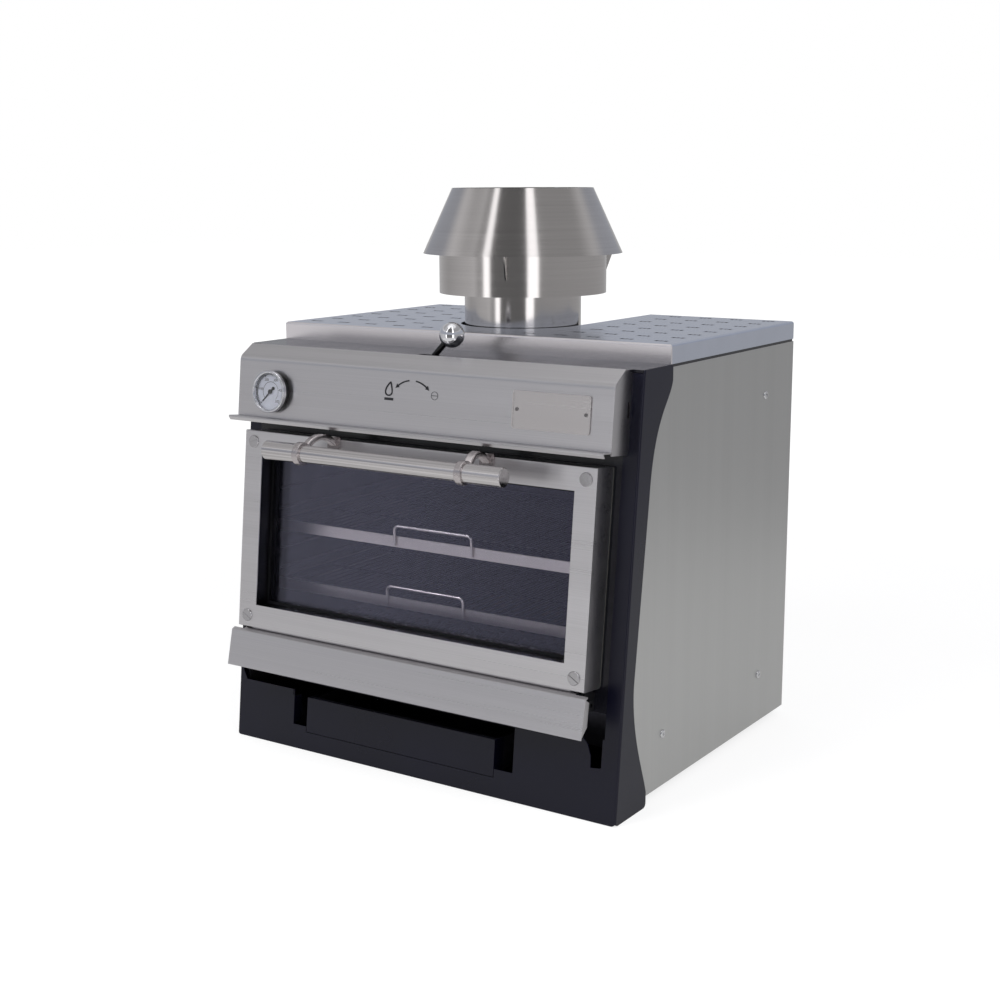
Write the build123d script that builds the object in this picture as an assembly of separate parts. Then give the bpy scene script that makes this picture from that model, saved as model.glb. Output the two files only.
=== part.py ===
from build123d import *
from math import cos, radians, sin, tan
import os

# Millimetres. X runs right seen from the front, Y back, Z up from the floor.
# The front frame leans back. A place on it is given as x, d and s:
# d is the distance out of its plane, s the distance down its slope from the top edge.

# Frame and body
LEAN = 6.2
FRAME_HEIGHT = 628.0
FRAME_HALF = 350.0
FRAME_FOOT = 1.0
FRAME_BEND = 3.5
FRAME_CORNER = 7.0
PLATE = 2.0
SHEET = 1.5
POST = 25.0
REAR = 500.0
SIDE_HALF = FRAME_HALF - PLATE
SIDE_BOTTOM = 16.0
TOP_PLATE = 4.0
SIDE_TOP = FRAME_HEIGHT - TOP_PLATE
WALL_GAP = 38.5
LINER_HALF = FRAME_HALF - WALL_GAP
LINER_FRONT = -3.0
LINER_BACK = 400.0
LINER_DROP = 130.0
LINER_TOP = FRAME_HEIGHT - LINER_DROP
LINER_BOTTOM = 86.0
SILL_HEIGHT = 194.5
MOUTH_HALF = LINER_HALF - 1.5
MOUTH_TOP = 138.0
MOUTH_FOOT = 434.0
FACE_FOOT = 475.0
HOPPER_TOP = 148.0
GRATE_LEVEL = 154.0
SLOT_PITCH = 20.5
WOOL_DROP = 68.0
WOOL_TOP = FRAME_HEIGHT - WOOL_DROP
PAN_FRONT = -44.0

# Control panel, lip and gauge
PANEL_INSET = 17.6
PANEL_HALF = FRAME_HALF - PANEL_INSET
PANEL_OUT = 46.5
PANEL_FOOT = 116.0
LIP_OUT = 70.0
GAUGE_INSET = 70.4
GAUGE_X = -PANEL_HALF + GAUGE_INSET
GAUGE_S = 71.0
BEZEL_RADIUS = 32.2
PANEL_BEND = 13.0
PROBE_HOLE = (GAUGE_X, 60.0)
COLD_ANGLE = 225.0

# Door
DOOR_INSET = 36.0
DOOR_HALF = FRAME_HALF - DOOR_INSET
DOOR_TOP = 133.0
DOOR_FOOT = 440.0
DOOR_FRONT = 47.0
DOOR_BACK = 4.0
GLASS_OUT = 12.0
DOOR_STILE = 34.0
WINDOW_HALF = DOOR_HALF - DOOR_STILE
WINDOW_TOP = 167.0
WINDOW_FOOT = 404.0
HINGE_OUT = 27.0
HINGE_S = 460.0
HINGE_BOLT_RADIUS = 4.0
ARM_INSET = 4.0
ARM_THICK = 5.0
ARM_TO = DOOR_HALF - ARM_INSET
ARM_FROM = ARM_TO - ARM_THICK
ROOT_FROM = ARM_FROM - 7.0
RUNNING_FIT = 0.08
HANDLE_OUT = 115.0
HANDLE_S = 153.0
HANDLE_HALF = 210.0
HANDLE_JOINT = 149.0
HANDLE_RADIUS = 13.0
GRIP_RADIUS = 14.0
APRON_HALF = 321.5
APRON_RELIEF = 12.0

# Flue and damper, both a little left of the middle
FLUE_X = -7.0
FLUE_Y = 253.5
FLUE_RADIUS = 92.0
FLUE_WALL = 2.0
FLUE_TOP = FRAME_HEIGHT + 102.0
COLLAR_RADIUS = 131.5
COLLAR_FOOT = FRAME_HEIGHT + 76.5
COLLAR_TOP = FRAME_HEIGHT + 162.0
HAT_FOOT = FRAME_HEIGHT + 138.0
HAT_TOP = FRAME_HEIGHT + 238.0
HAT_FOOT_RADIUS = 156.5
HAT_TOP_RADIUS = 110.4
SHAFT_Z = FRAME_HEIGHT - 10.0
SHAFT_RADIUS = 5.0
HAT_WALL = 1.5
LEVER_ANGLE = 45.0
LEVER_LENGTH = 58.5
LEVER_SLOT = 17.5
KNOB_RADIUS = 18.5

# Top cover
COVER_HALF = FRAME_HALF - 1.5
COVER_FRONT = 78.0
COVER_REAR = 502.0
COVER_CORNER = 5.0
COVER_BEND = 4.0
COVER_TOP = FRAME_HEIGHT + 27.5
COVER_SLOT = 98.0
HOLE_DEPTH = 9.0

# Drawer
DRAWER_LEFT = -207.0
DRAWER_RIGHT = 145.0
DRAWER_TOP = 546.0
DRAWER_FOOT = 601.0
DRAWER_BACK = 300.0
TRAY_FOOT = 32.0
TRAY_TOP = 80.0
FASCIA_FOOT = (FRAME_HEIGHT - FRAME_FOOT) / cos(radians(LEAN))

# Racks
RACK_PLAY = 4.5
RACK_HALF = LINER_HALF - RACK_PLAY
WIRE_PITCH = 15.4
RACK_BAR = 17.0
RAIL_LOWEST = 237.0
RAIL_PITCH = 32.0
RAIL_COUNT = 6

# Screws, each place as y and z on a side panel or as z on the rear
SIDE_SCREWS = ((397, 549), (399, 96), (71, 95))
SIDE_SCREW_RADIUS = 6.2
REAR_SCREW_X = FRAME_HALF - 15.0
REAR_SCREWS = (60, 200, 340, 480, 600)
REAR_HEAD = 2.2

# The middle of the whole object, front to back, is set over the origin.
HOOP_RADIUS = GRIP_RADIUS + 3.2
FRONT_REACH = (
    HANDLE_S * sin(radians(LEAN)) + HANDLE_OUT * cos(radians(LEAN)) + HOOP_RADIUS
)
CENTRE_Y = (FRONT_REACH - REAR - REAR_HEAD) / 2
BODY = Location((0, CENTRE_Y, 0))
FRONT = Location((0, 0, FRAME_HEIGHT), (-LEAN, 0, 0))


def front_y(z, out=0.0):
    """Return the y of the leaning plane, moved out by a distance, at height z."""
    slope = (FRAME_HEIGHT - z) * tan(radians(LEAN))
    return -slope - out / cos(radians(LEAN))


def block(x_from, x_to, y_from, y_to, z_from, z_to):
    """Return an upright box between two corners."""
    middle = Pos((x_from + x_to) / 2, (y_from + y_to) / 2, (z_from + z_to) / 2)
    return middle * Box(x_to - x_from, y_to - y_from, z_to - z_from)


def front_block(x_from, x_to, d_from, d_to, s_from, s_to):
    """Return a box that lies along the leaning front."""
    return FRONT * block(x_from, x_to, -d_to, -d_from, -s_to, -s_from)


def on_front(shape, out=0.0):
    """Stand a shape drawn as (x, -s) on the leaning front, facing outward."""
    return FRONT * Pos(0, -out, 0) * Rot(90, 0, 0) * shape


def across(shape, x_from=0.0):
    """Stand a shape drawn as (y, z) upright, its thickness running along +X."""
    return Pos(x_from, 0, 0) * (Plane.YZ * shape)


def along_front(shape, x_from=0.0):
    """Stand a shape drawn as (-d, -s) on the leaning front, thickness along +X."""
    return FRONT * across(shape, x_from)


def polygon(*points):
    """Return a flat face with straight sides."""
    return make_face(Polyline(*points, close=True))


def ribbon(points, thickness, bend):
    """Return the section of a bent sheet whose one side follows the points."""
    line = FilletPolyline(*points, radius=bend)
    return make_face(offset(line, amount=thickness, side=Side.LEFT, closed=True))


def ring(outer, inner, length):
    """Return a tube standing on z = 0."""
    return extrude(Circle(outer) - Circle(inner), length)


def rod(start, end, radius):
    """Return a round rod between two points."""
    direction = Vector(*end) - Vector(*start)
    plane = Plane(origin=start, z_dir=direction)
    return extrude(plane * Circle(radius), direction.length)


def bent_rod(points, bend, radius):
    """Return a round rod that follows a path with rounded corners."""
    path = FilletPolyline(*points, radius=bend)
    start = Plane(origin=path @ 0, z_dir=path % 0)
    return sweep(start * Circle(radius), path=path)


def mirrored(shape):
    """Return the same shape on the other side of the middle."""
    return mirror(shape, about=Plane.YZ)


def save(name, shape):
    """Write one piece in its place."""
    export_step(BODY * shape, os.path.join("parts", name + ".step"))


os.makedirs("parts", exist_ok=True)


# Side cheeks of the front frame
def cheek_face():
    """Return the side outline of a cheek, drawn as (y, z)."""
    top = FRAME_HEIGHT
    lines = [
        Line((0, top), (82, top)),
        Line((82, top), (82, top - 22)),
        Bezier((82, top - 22), (74, top - 53), (30, top - 63), (18, top - 178)),
        Line((18, top - 178), (-19, 190)),
        Bezier((-19, 190), (-24, 120), (10, 60), (20, 24)),
        Line((20, 24), (20, FRAME_FOOT)),
        Line((20, FRAME_FOOT), (front_y(FRAME_FOOT), FRAME_FOOT)),
        Line((front_y(FRAME_FOOT), FRAME_FOOT), (0, top)),
    ]
    return make_face(lines)


def cheek():
    """Return the right cheek: a flat side with a post turned in at the front."""
    side = extrude(across(cheek_face(), SIDE_HALF), PLATE)
    side = fillet(side.edges().filter_by(Axis.X).group_by(Axis.Z)[0], FRAME_CORNER)
    flange = front_block(FRAME_HALF - POST, FRAME_HALF, -PLATE, 0, 4.6, FASCIA_FOOT)
    flange_corner = flange.edges().filter_by(Axis.Y, tolerance=LEAN + 1).group_by(Axis.Z)[0]
    flange = fillet(flange_corner.sort_by(Axis.X)[-1], FRAME_CORNER)
    bend_from = FRAME_HALF - FRAME_BEND
    outside = front_block(bend_from, FRAME_HALF + 1, -FRAME_BEND, 1, -5, FASCIA_FOOT + 5)
    outside -= FRONT * Pos(bend_from, FRAME_BEND, -FASCIA_FOOT / 2) * Cylinder(
        FRAME_BEND, FASCIA_FOOT + 20
    )
    return side + flange - outside


right_cheek = cheek()
left_cheek = mirrored(cheek())
inner_post = FRAME_HALF - POST
# The left post is narrower where the slot above the fascia opens.
slot_corner = on_front(
    polygon(
        (-inner_post, -505),
        (-FRAME_HALF + 8, -505),
        (-FRAME_HALF + 8, -524),
        (-FRAME_HALF + 16, -538),
        (-inner_post, -538),
    ),
    -PLATE - 1,
)
left_cheek -= extrude(slot_corner, PLATE + 2)
save("cheek_right", right_cheek)
save("cheek_left", left_cheek)

# Lower fascia between the posts, cut out for the drawer and the hinge
fascia_outline = [
    (-inner_post, -538),
    (DRAWER_LEFT - 29.5, -538),
    (DRAWER_LEFT - 29.5, -547),
    (DRAWER_LEFT - 28, -547),
    (DRAWER_LEFT - 28, -538),
    (DRAWER_LEFT - 27, -538),
    (DRAWER_LEFT - 27, -593),
    (DRAWER_LEFT - 1, -593),
    (DRAWER_LEFT - 1, -DRAWER_FOOT - 1),
    (DRAWER_RIGHT + 1, -DRAWER_FOOT - 1),
    (DRAWER_RIGHT + 1, -589),
    (DRAWER_RIGHT + 33, -589),
    (DRAWER_RIGHT + 33, -512),
    (inner_post - 37, -512),
    (inner_post - 27, -522),
    (inner_post - 21, -538),
    (inner_post - 20, -555),
    (inner_post - 3, -553),
    (inner_post - 3, -512),
    (inner_post, -512),
    (inner_post, -FASCIA_FOOT),
    (-inner_post, -FASCIA_FOOT),
]
fascia = extrude(on_front(polygon(*fascia_outline), -PLATE), PLATE)
fascia += front_block(DRAWER_LEFT - 29.5, DRAWER_LEFT - 27.5, -20, -PLATE, 549, 590)
fascia += front_block(DRAWER_RIGHT + 33.5, DRAWER_RIGHT + 35.5, -20, -PLATE, 514, 586)
save("lower_fascia", fascia)

# Frame round the chamber mouth with a sill at its foot
face = Pos(0, -(118 + FACE_FOOT) / 2) * Rectangle(2 * inner_post, FACE_FOOT - 118)
mouth = Pos(0, -(MOUTH_TOP + MOUTH_FOOT) / 2) * Rectangle(
    2 * MOUTH_HALF, MOUTH_FOOT - MOUTH_TOP
)
front_frame = extrude(on_front(face - mouth, -PLATE), PLATE)
front_frame += block(
    -LINER_HALF, LINER_HALF, front_y(SILL_HEIGHT, -1.0), LINER_FRONT, SILL_HEIGHT - 2, SILL_HEIGHT
)
save("chamber_front_frame", front_frame)

# Chamber liner: two sides, back and front wall below the sill in one, and the roof
liner_side_face = polygon(
    (front_y(LINER_TOP, -PLATE), LINER_TOP),
    (front_y(SILL_HEIGHT, -PLATE), SILL_HEIGHT),
    (LINER_FRONT, SILL_HEIGHT),
    (LINER_FRONT, LINER_BOTTOM),
    (LINER_BACK, LINER_BOTTOM),
    (LINER_BACK, LINER_TOP),
)
liner_side = extrude(across(liner_side_face, LINER_HALF), SHEET)
liner_back = block(
    -LINER_HALF, LINER_HALF, LINER_BACK - SHEET, LINER_BACK, LINER_BOTTOM, LINER_TOP
)
liner_front = block(
    -LINER_HALF, LINER_HALF, LINER_FRONT, LINER_FRONT + SHEET, LINER_BOTTOM, SILL_HEIGHT - 2
)
save("chamber_liner", liner_side + mirrored(liner_side) + liner_back + liner_front)
roof = block(
    -LINER_HALF - SHEET,
    LINER_HALF + SHEET,
    front_y(LINER_TOP + SHEET, -PLATE),
    LINER_BACK,
    LINER_TOP,
    LINER_TOP + SHEET,
)
roof -= Pos(FLUE_X, FLUE_Y, LINER_TOP + 1) * Cylinder(FLUE_RADIUS - FLUE_WALL, 6)
roof -= Pos(*PROBE_HOLE, LINER_TOP + 1) * Cylinder(3.5, 6)
save("liner_roof", roof)

# Hopper that leads the ash into the drawer


def hopper_form(inset):
    """Return the solid shape of the hopper, made smaller by the inset."""
    top = Pos(0, (LINER_FRONT + LINER_BACK) / 2, HOPPER_TOP) * Rectangle(
        2 * (LINER_HALF - inset), LINER_BACK - LINER_FRONT - 2 * (SHEET + inset)
    )
    middle_x = (DRAWER_LEFT + DRAWER_RIGHT) / 2
    foot = Pos(middle_x, 150, LINER_BOTTOM) * Rectangle(
        DRAWER_RIGHT - DRAWER_LEFT - 20 - 2 * inset, 260 - 2 * inset
    )
    return loft([foot, top])


hopper_bore = hopper_form(SHEET)
hopper = hopper_form(0) - hopper_bore
save("ash_hopper", hopper)

# Charcoal grate on two ledges
grate_ledge = block(LINER_HALF - 14, LINER_HALF, 10, LINER_BACK - SHEET, GRATE_LEVEL - 3, GRATE_LEVEL)
save("grate_ledges", grate_ledge + mirrored(grate_ledge))
grate_half = LINER_HALF - 1.5
grate = block(-grate_half, grate_half, 4, LINER_BACK - 4, GRATE_LEVEL, GRATE_LEVEL + 9)
slots = []
side_slots = int((grate_half - 10) / SLOT_PITCH)
for column in range(-side_slots, side_slots + 1):
    slot_x = column * SLOT_PITCH
    for slot_y in (100, 293):
        slots.append(Pos(slot_x, slot_y, GRATE_LEVEL + 4) * Box(10.5, 168, 20))
grate -= slots
save("charcoal_grate", grate)

# Rack rails: folded ledges on both walls
rails = []
for level in range(RAIL_COUNT):
    rail_top = RAIL_LOWEST + level * RAIL_PITCH
    rails.append(block(LINER_HALF - 10, LINER_HALF, 6, 390, rail_top - 2, rail_top))
    rails.append(block(LINER_HALF - 2, LINER_HALF, 6, 390, rail_top - 8, rail_top - 2))
rail_set = Part() + rails
save("rack_rails", rail_set + mirrored(rail_set))


# Racks
def rack(level, handle_x):
    """Return one wire rack standing on the given rail, with its pull handle."""
    foot = RAIL_LOWEST + level * RAIL_PITCH
    top = foot + RACK_BAR
    pieces = [
        block(-RACK_HALF, RACK_HALF, -1.5, 1.5, foot, top),
        block(-RACK_HALF, RACK_HALF, 385, 388, foot, top),
    ]
    for side in (-1, 1):
        inner = side * (RACK_HALF - 3)
        outer = side * RACK_HALF
        pieces.append(block(min(inner, outer), max(inner, outer), 1.5, 385, foot, top))
    side_wires = int((RACK_HALF - 10) / WIRE_PITCH)
    for number in range(-side_wires, side_wires + 1):
        wire_x = number * WIRE_PITCH
        pieces.append(rod((wire_x, 0, top - 4), (wire_x, 386, top - 4), 1.5))
    for tie_y in (130, 260):
        pieces.append(rod((-RACK_HALF + 1, tie_y, top - 7), (RACK_HALF - 1, tie_y, top - 7), 2))
    handle = bent_rod(
        [
            (handle_x - 70.5, -3.6, foot + 3),
            (handle_x - 70.5, -3.6, top + 16.5),
            (handle_x + 70.5, -3.6, top + 16.5),
            (handle_x + 70.5, -3.6, foot + 3),
        ],
        8,
        2.5,
    )
    return Part() + pieces + handle


save("rack_upper", rack(3, 0))
save("rack_lower", rack(0, -16))

# Insulation round the chamber: blankets at the sides and back, one on the roof
wool_side = block(LINER_HALF + SHEET, SIDE_HALF - SHEET, 30, 430, LINER_BOTTOM, LINER_TOP)
wool_back = block(-LINER_HALF, LINER_HALF, LINER_BACK, 450, LINER_BOTTOM, LINER_TOP)
save("insulation", wool_side + mirrored(wool_side) + wool_back)
wool_roof = block(-LINER_HALF, LINER_HALF, 100, 450, LINER_TOP + SHEET, WOOL_TOP)
wool_roof -= Pos(FLUE_X, FLUE_Y, WOOL_TOP - 30) * Cylinder(FLUE_RADIUS, 100)
save("roof_insulation", wool_roof)

# Side panels with folded edges
side_front = [front_y(SIDE_BOTTOM, -20), front_y(SIDE_TOP, -20)]
side_face = polygon(
    (side_front[0], SIDE_BOTTOM),
    (REAR, SIDE_BOTTOM),
    (REAR, SIDE_TOP),
    (side_front[1], SIDE_TOP),
)
side_panel = extrude(across(side_face, SIDE_HALF - SHEET), SHEET)
side_panel += block(SIDE_HALF - 22, SIDE_HALF, REAR - SHEET, REAR, SIDE_BOTTOM, SIDE_TOP)
side_panel += block(SIDE_HALF - 18, SIDE_HALF, 20, REAR, SIDE_TOP - SHEET, SIDE_TOP)
side_panel += block(SIDE_HALF - 18, SIDE_HALF, 20, REAR, SIDE_BOTTOM, SIDE_BOTTOM + SHEET)
for screw_y, screw_z in SIDE_SCREWS:
    side_panel -= Pos(SIDE_HALF, screw_y, screw_z) * Rot(0, 90, 0) * Cylinder(2.6, 10)
for screw_z in REAR_SCREWS:
    side_panel -= Pos(REAR_SCREW_X, REAR, screw_z) * Rot(90, 0, 0) * Cylinder(2.1, 10)
save("side_panel_right", side_panel)
save("side_panel_left", mirrored(side_panel))

# Rear panel with a row of vent slots, and the floor pan
rear_panel = block(
    -SIDE_HALF + 2, SIDE_HALF - 2, REAR - 2 * SHEET, REAR - SHEET, SIDE_BOTTOM + 2, SIDE_TOP - 2
)
vents = []
for number in range(9):
    vents.append(Pos((number - 4) * 52, REAR - 2, 585) * Box(36, 10, 3.6))
    vents.append(Pos((number - 4) * 52, REAR - 2, 575) * Box(36, 10, 3.6))
for screw_z in REAR_SCREWS:
    hole = Pos(REAR_SCREW_X, REAR, screw_z) * Rot(90, 0, 0) * Cylinder(2.1, 10)
    vents += [hole, mirrored(hole)]
rear_panel -= vents
save("rear_panel", rear_panel)
pan = block(
    -SIDE_HALF + SHEET, SIDE_HALF - SHEET, PAN_FRONT, REAR - 2 * SHEET, SIDE_BOTTOM + SHEET, SIDE_BOTTOM + 3
)
save("base_pan", pan)

# Runners that carry the drawer, standing on the floor pan
runner_end = DRAWER_BACK + 10
runners = block(DRAWER_LEFT + 17, DRAWER_RIGHT - 17, runner_end - 4, runner_end, SIDE_BOTTOM + 3, 60)
for runner_x in (DRAWER_LEFT + 17, DRAWER_RIGHT - 33):
    runners += block(
        runner_x, runner_x + 16, PAN_FRONT, runner_end, SIDE_BOTTOM + 3, TRAY_FOOT - 0.3
    )
save("drawer_runners", runners)

# Feet under the floor pan
feet = []
for foot_x in (70 - FRAME_HALF, FRAME_HALF - 70):
    for foot_y in (10, REAR - 60):
        stem = Pos(foot_x, foot_y, 8 + (SIDE_BOTTOM + SHEET - 8) / 2)
        feet.append(stem * Cylinder(8, SIDE_BOTTOM + SHEET - 8))
        pad = extrude(Pos(foot_x, foot_y, 0) * Circle(18), 8)
        feet.append(chamfer(pad.edges().group_by(Axis.Z)[0], 1.5))
save("feet", Part() + feet)

# Fasteners of the side and rear panels
def dome_screw(head_radius, head_height, shank_radius, shank_length):
    """Return a screw whose head rises from z = 0 and whose shank goes down."""
    head = Cylinder(head_radius, head_height, align=(Align.CENTER, Align.CENTER, Align.MIN))
    head = fillet(head.edges().group_by(Axis.Z)[-1], head_height * 0.7)
    head -= Pos(0, 0, head_height) * extrude(RegularPolygon(head_radius * 0.45, 6), -head_height * 0.6)
    shank = Cylinder(shank_radius, shank_length, align=(Align.CENTER, Align.CENTER, Align.MAX))
    return head + shank


side_screws = []
for screw_y, screw_z in SIDE_SCREWS:
    spot = Pos(SIDE_HALF, screw_y, screw_z) * Rot(0, 90, 0)
    screw = spot * dome_screw(SIDE_SCREW_RADIUS, 2.6, 2.5, SHEET)
    side_screws.append(screw)
    side_screws.append(mirrored(screw))
rear_screws = []
for screw_x in (-REAR_SCREW_X, REAR_SCREW_X):
    for screw_z in REAR_SCREWS:
        spot = Pos(screw_x, REAR, screw_z) * Rot(-90, 0, 0)
        rear_screws.append(spot * dome_screw(4.0, REAR_HEAD, 2.0, 2 * SHEET))
save("panel_screws", Part() + side_screws + rear_screws)

# Black top plate with the slot of the damper lever and the hole of the flue
plate_front = front_y(FRAME_HEIGHT, 19.0)
top_plate = block(-SIDE_HALF + 0.5, SIDE_HALF - 0.5, 0, REAR - 4, SIDE_TOP, FRAME_HEIGHT)
front_half = PANEL_HALF - SHEET - 0.3
top_plate += block(-front_half, front_half, plate_front, 0, SIDE_TOP, FRAME_HEIGHT)
lever_room = block(-LEVER_SLOT, LEVER_SLOT, -6.5, 6.5, SIDE_TOP - 1, FRAME_HEIGHT + 1)
top_plate -= Pos(FLUE_X, 0, 0) * lever_room
top_plate -= Pos(FLUE_X, FLUE_Y, SIDE_TOP) * Cylinder(FLUE_RADIUS, 20)
save("top_plate", top_plate)

# Control panel: a folded sheet with closed ends
face_line = [(-20, 0), (-46, -20.5), (-PANEL_OUT, -111)]
panel = extrude(along_front(ribbon(face_line, -SHEET, PANEL_BEND), -PANEL_HALF), 2 * PANEL_HALF)
end_face = polygon(
    (0, -4), (-19, -1), (-40.5, -17.5), (-45, -26), (-45, -PANEL_FOOT), (0, -PANEL_FOOT)
)
panel_end = extrude(along_front(end_face, PANEL_HALF - SHEET), SHEET)
panel_end -= front_block(PANEL_HALF - 5, PANEL_HALF + 5, 4, 8, 44, 66)
panel += panel_end + mirrored(panel_end)
panel -= on_front(Pos(GAUGE_X, -GAUGE_S) * Cylinder(26, 30), PANEL_OUT)
save("control_panel", panel)

# Lip under the control panel
lip_line = [(-PANEL_OUT + 0.5, -111.2), (-LIP_OUT, -111.2), (-64, -118.5)]
lip = extrude(
    along_front(ribbon(lip_line, SHEET, 2.0), -PANEL_HALF), 2 * PANEL_HALF
)
lip += front_block(
    -PANEL_HALF + SHEET + 0.3, PANEL_HALF - SHEET - 0.3, 0, PANEL_OUT + 1, 111.2, 112.7
)
save("visor_lip", lip)

# Blank name plate and its two rivets
plate_outline = Pos(PANEL_HALF - 96.9, -64.5) * RectangleRounded(125, 53, 4)
name_plate = extrude(on_front(plate_outline, PANEL_OUT), 1.2)
rim = Pos(PANEL_HALF - 96.9, -64.5) * (RectangleRounded(125, 53, 4) - RectangleRounded(120, 48, 3))
name_plate += extrude(on_front(rim, PANEL_OUT), 1.8)
save("name_plate", name_plate)
rivets = []
for rivet_x in (PANEL_HALF - 151.4, PANEL_HALF - 41.4):
    head = Cylinder(2.6, 1.4, align=(Align.CENTER, Align.CENTER, Align.MIN))
    head = fillet(head.edges().group_by(Axis.Z)[-1], 1.0)
    rivets.append(on_front(Pos(rivet_x, -64) * head, PANEL_OUT + 1.2))
save("name_plate_rivets", Part() + rivets)

# Temperature gauge
gauge_spot = Pos(GAUGE_X, -GAUGE_S)
case = ring(BEZEL_RADIUS - 1.2, BEZEL_RADIUS - 3.2, 7.5)
case += extrude(Circle(BEZEL_RADIUS - 1.2), 1.5)
case_back = Pos(0, 0, -32) * extrude(Circle(25.5), 32)
case_back -= Pos(0, 0, -30.5) * extrude(Circle(24), 30.5)
save("gauge_case", on_front(gauge_spot * (case + case_back), PANEL_OUT + 0.2))
bezel = ring(BEZEL_RADIUS, BEZEL_RADIUS - 4.2, 5.8)
bezel = fillet(bezel.edges().group_by(Axis.Z)[-1], 1.8)
save("gauge_bezel", on_front(gauge_spot * Pos(0, 0, 7.7) * bezel, PANEL_OUT + 0.2))
dial_out = PANEL_OUT + 5.0
dial = extrude(Circle(BEZEL_RADIUS - 3.4), 1.0)
save("gauge_dial", on_front(gauge_spot * dial, dial_out))
lens = extrude(Circle(BEZEL_RADIUS - 4.3), 1.2)
save("gauge_lens", on_front(gauge_spot * Pos(0, 0, 6.2) * lens, dial_out + 0.1))
needle = extrude(
    polygon((-7, -1.6), (-7, 1.6), (0, 1.2), (22, 0.35), (22, -0.35), (0, -1.2)), 0.8
)
needle += extrude(Circle(3.4), 2.2)
needle += extrude(Pos(-7.5, 0) * Circle(2.6), 0.8)
needle = Rot(0, 0, COLD_ANGLE) * needle
save("gauge_needle", on_front(gauge_spot * Pos(0, 0, 1.4) * needle, dial_out))
case_tail = (FRONT * Pos(GAUGE_X, -(PANEL_OUT + 0.2 - 32), -GAUGE_S)).position
probe = bent_rod(
    [
        (GAUGE_X, case_tail.Y + 0.3, case_tail.Z),
        (GAUGE_X, PROBE_HOLE[1], case_tail.Z),
        (GAUGE_X, PROBE_HOLE[1], LINER_TOP - 20),
    ],
    12,
    1.5,
)
probe += Pos(*PROBE_HOLE, LINER_TOP - 36) * Cylinder(3.2, 64)
probe += Pos(*PROBE_HOLE, LINER_TOP + SHEET + 2) * Cylinder(8, 4)
save("gauge_probe", probe)

# Perforated top cover
cover_width = 2 * COVER_HALF
cover_depth = COVER_REAR - COVER_FRONT
cover_middle = Pos(0, (COVER_FRONT + COVER_REAR) / 2)
cover_slot = Pos(FLUE_X, FLUE_Y) * Circle(COVER_SLOT)
cover_slot += Pos(FLUE_X, (FLUE_Y + COVER_REAR + 10) / 2) * Rectangle(
    2 * COVER_SLOT, COVER_REAR + 10 - FLUE_Y
)
tray_body = Pos(0, 0, FRAME_HEIGHT) * extrude(
    cover_middle * Rectangle(cover_width, cover_depth), COVER_TOP - FRAME_HEIGHT
)
tray_body = fillet(tray_body.edges().filter_by(Axis.Z).group_by(Axis.Y)[-1], COVER_CORNER)
tray_body = fillet(tray_body.edges().group_by(Axis.Z)[-1], COVER_BEND)
tray_core = Pos(0, 0, FRAME_HEIGHT - 1) * extrude(
    cover_middle * Rectangle(cover_width - 2 * SHEET, cover_depth - 2 * SHEET),
    COVER_TOP - FRAME_HEIGHT + 1 - SHEET,
)
tray_core = fillet(
    tray_core.edges().filter_by(Axis.Z).group_by(Axis.Y)[-1], COVER_CORNER - SHEET
)
cover = tray_body - tray_core
cover -= Pos(0, 0, FRAME_HEIGHT - 5) * extrude(cover_slot, 50)
rows = [114.5 + 51.8 * row for row in range(8)]
columns = [COVER_HALF - inset for inset in (35, 90.5, 145.5, 200.5)]
groups = [(side * x, y) for y in rows for x in columns for side in (-1, 1)]
groups += [(-93, rows[0]), (93, rows[0])]
holes = Sketch()
for group_x, group_y in groups:
    for step in (-1, 0, 1):
        width = 5.6 if step else 4.0
        holes += Pos(group_x + 7.2 * step, group_y) * Rectangle(width, HOLE_DEPTH)
cover -= Pos(0, 0, COVER_TOP - 5) * extrude(holes, 10)
save("top_cover", cover)

# Flue: pipe, collar with spacers, hat with gussets
flue = ring(FLUE_RADIUS, FLUE_RADIUS - FLUE_WALL, FLUE_TOP - LINER_TOP - SHEET)
flue = Pos(FLUE_X, FLUE_Y, LINER_TOP + SHEET) * flue
flue -= Pos(FLUE_X, FLUE_Y - FLUE_RADIUS, SHAFT_Z) * Rot(90, 0, 0) * Cylinder(SHAFT_RADIUS + RUNNING_FIT, 20)
flue -= Pos(FLUE_X, FLUE_Y + FLUE_RADIUS, SHAFT_Z) * Rot(90, 0, 0) * Cylinder(SHAFT_RADIUS + RUNNING_FIT, 20)
save("flue_pipe", flue)
collar = Pos(FLUE_X, FLUE_Y, COLLAR_FOOT) * ring(
    COLLAR_RADIUS, COLLAR_RADIUS - FLUE_WALL, COLLAR_TOP - COLLAR_FOOT
)
save("flue_collar", collar)
spacers = []
spacer_end = COLLAR_RADIUS - FLUE_WALL - 0.1
for angle in (52, 172, 292):
    turn = Pos(FLUE_X, FLUE_Y, 0) * Rot(0, 0, angle)
    spacers.append(
        turn * block(FLUE_RADIUS + 0.1, spacer_end, -1, 1, COLLAR_FOOT + 4, FLUE_TOP + 2)
    )
    spacers.append(turn * block(FLUE_RADIUS - 6, FLUE_RADIUS + 0.1, -1, 1, FLUE_TOP, FLUE_TOP + 2))
save("collar_spacers", Part() + spacers)


def cone(foot_radius, top_radius, foot, top):
    """Return a solid frustum over the flue."""
    lower = Pos(FLUE_X, FLUE_Y, foot) * Circle(foot_radius)
    upper = Pos(FLUE_X, FLUE_Y, top) * Circle(top_radius)
    return loft([lower, upper])


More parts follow.
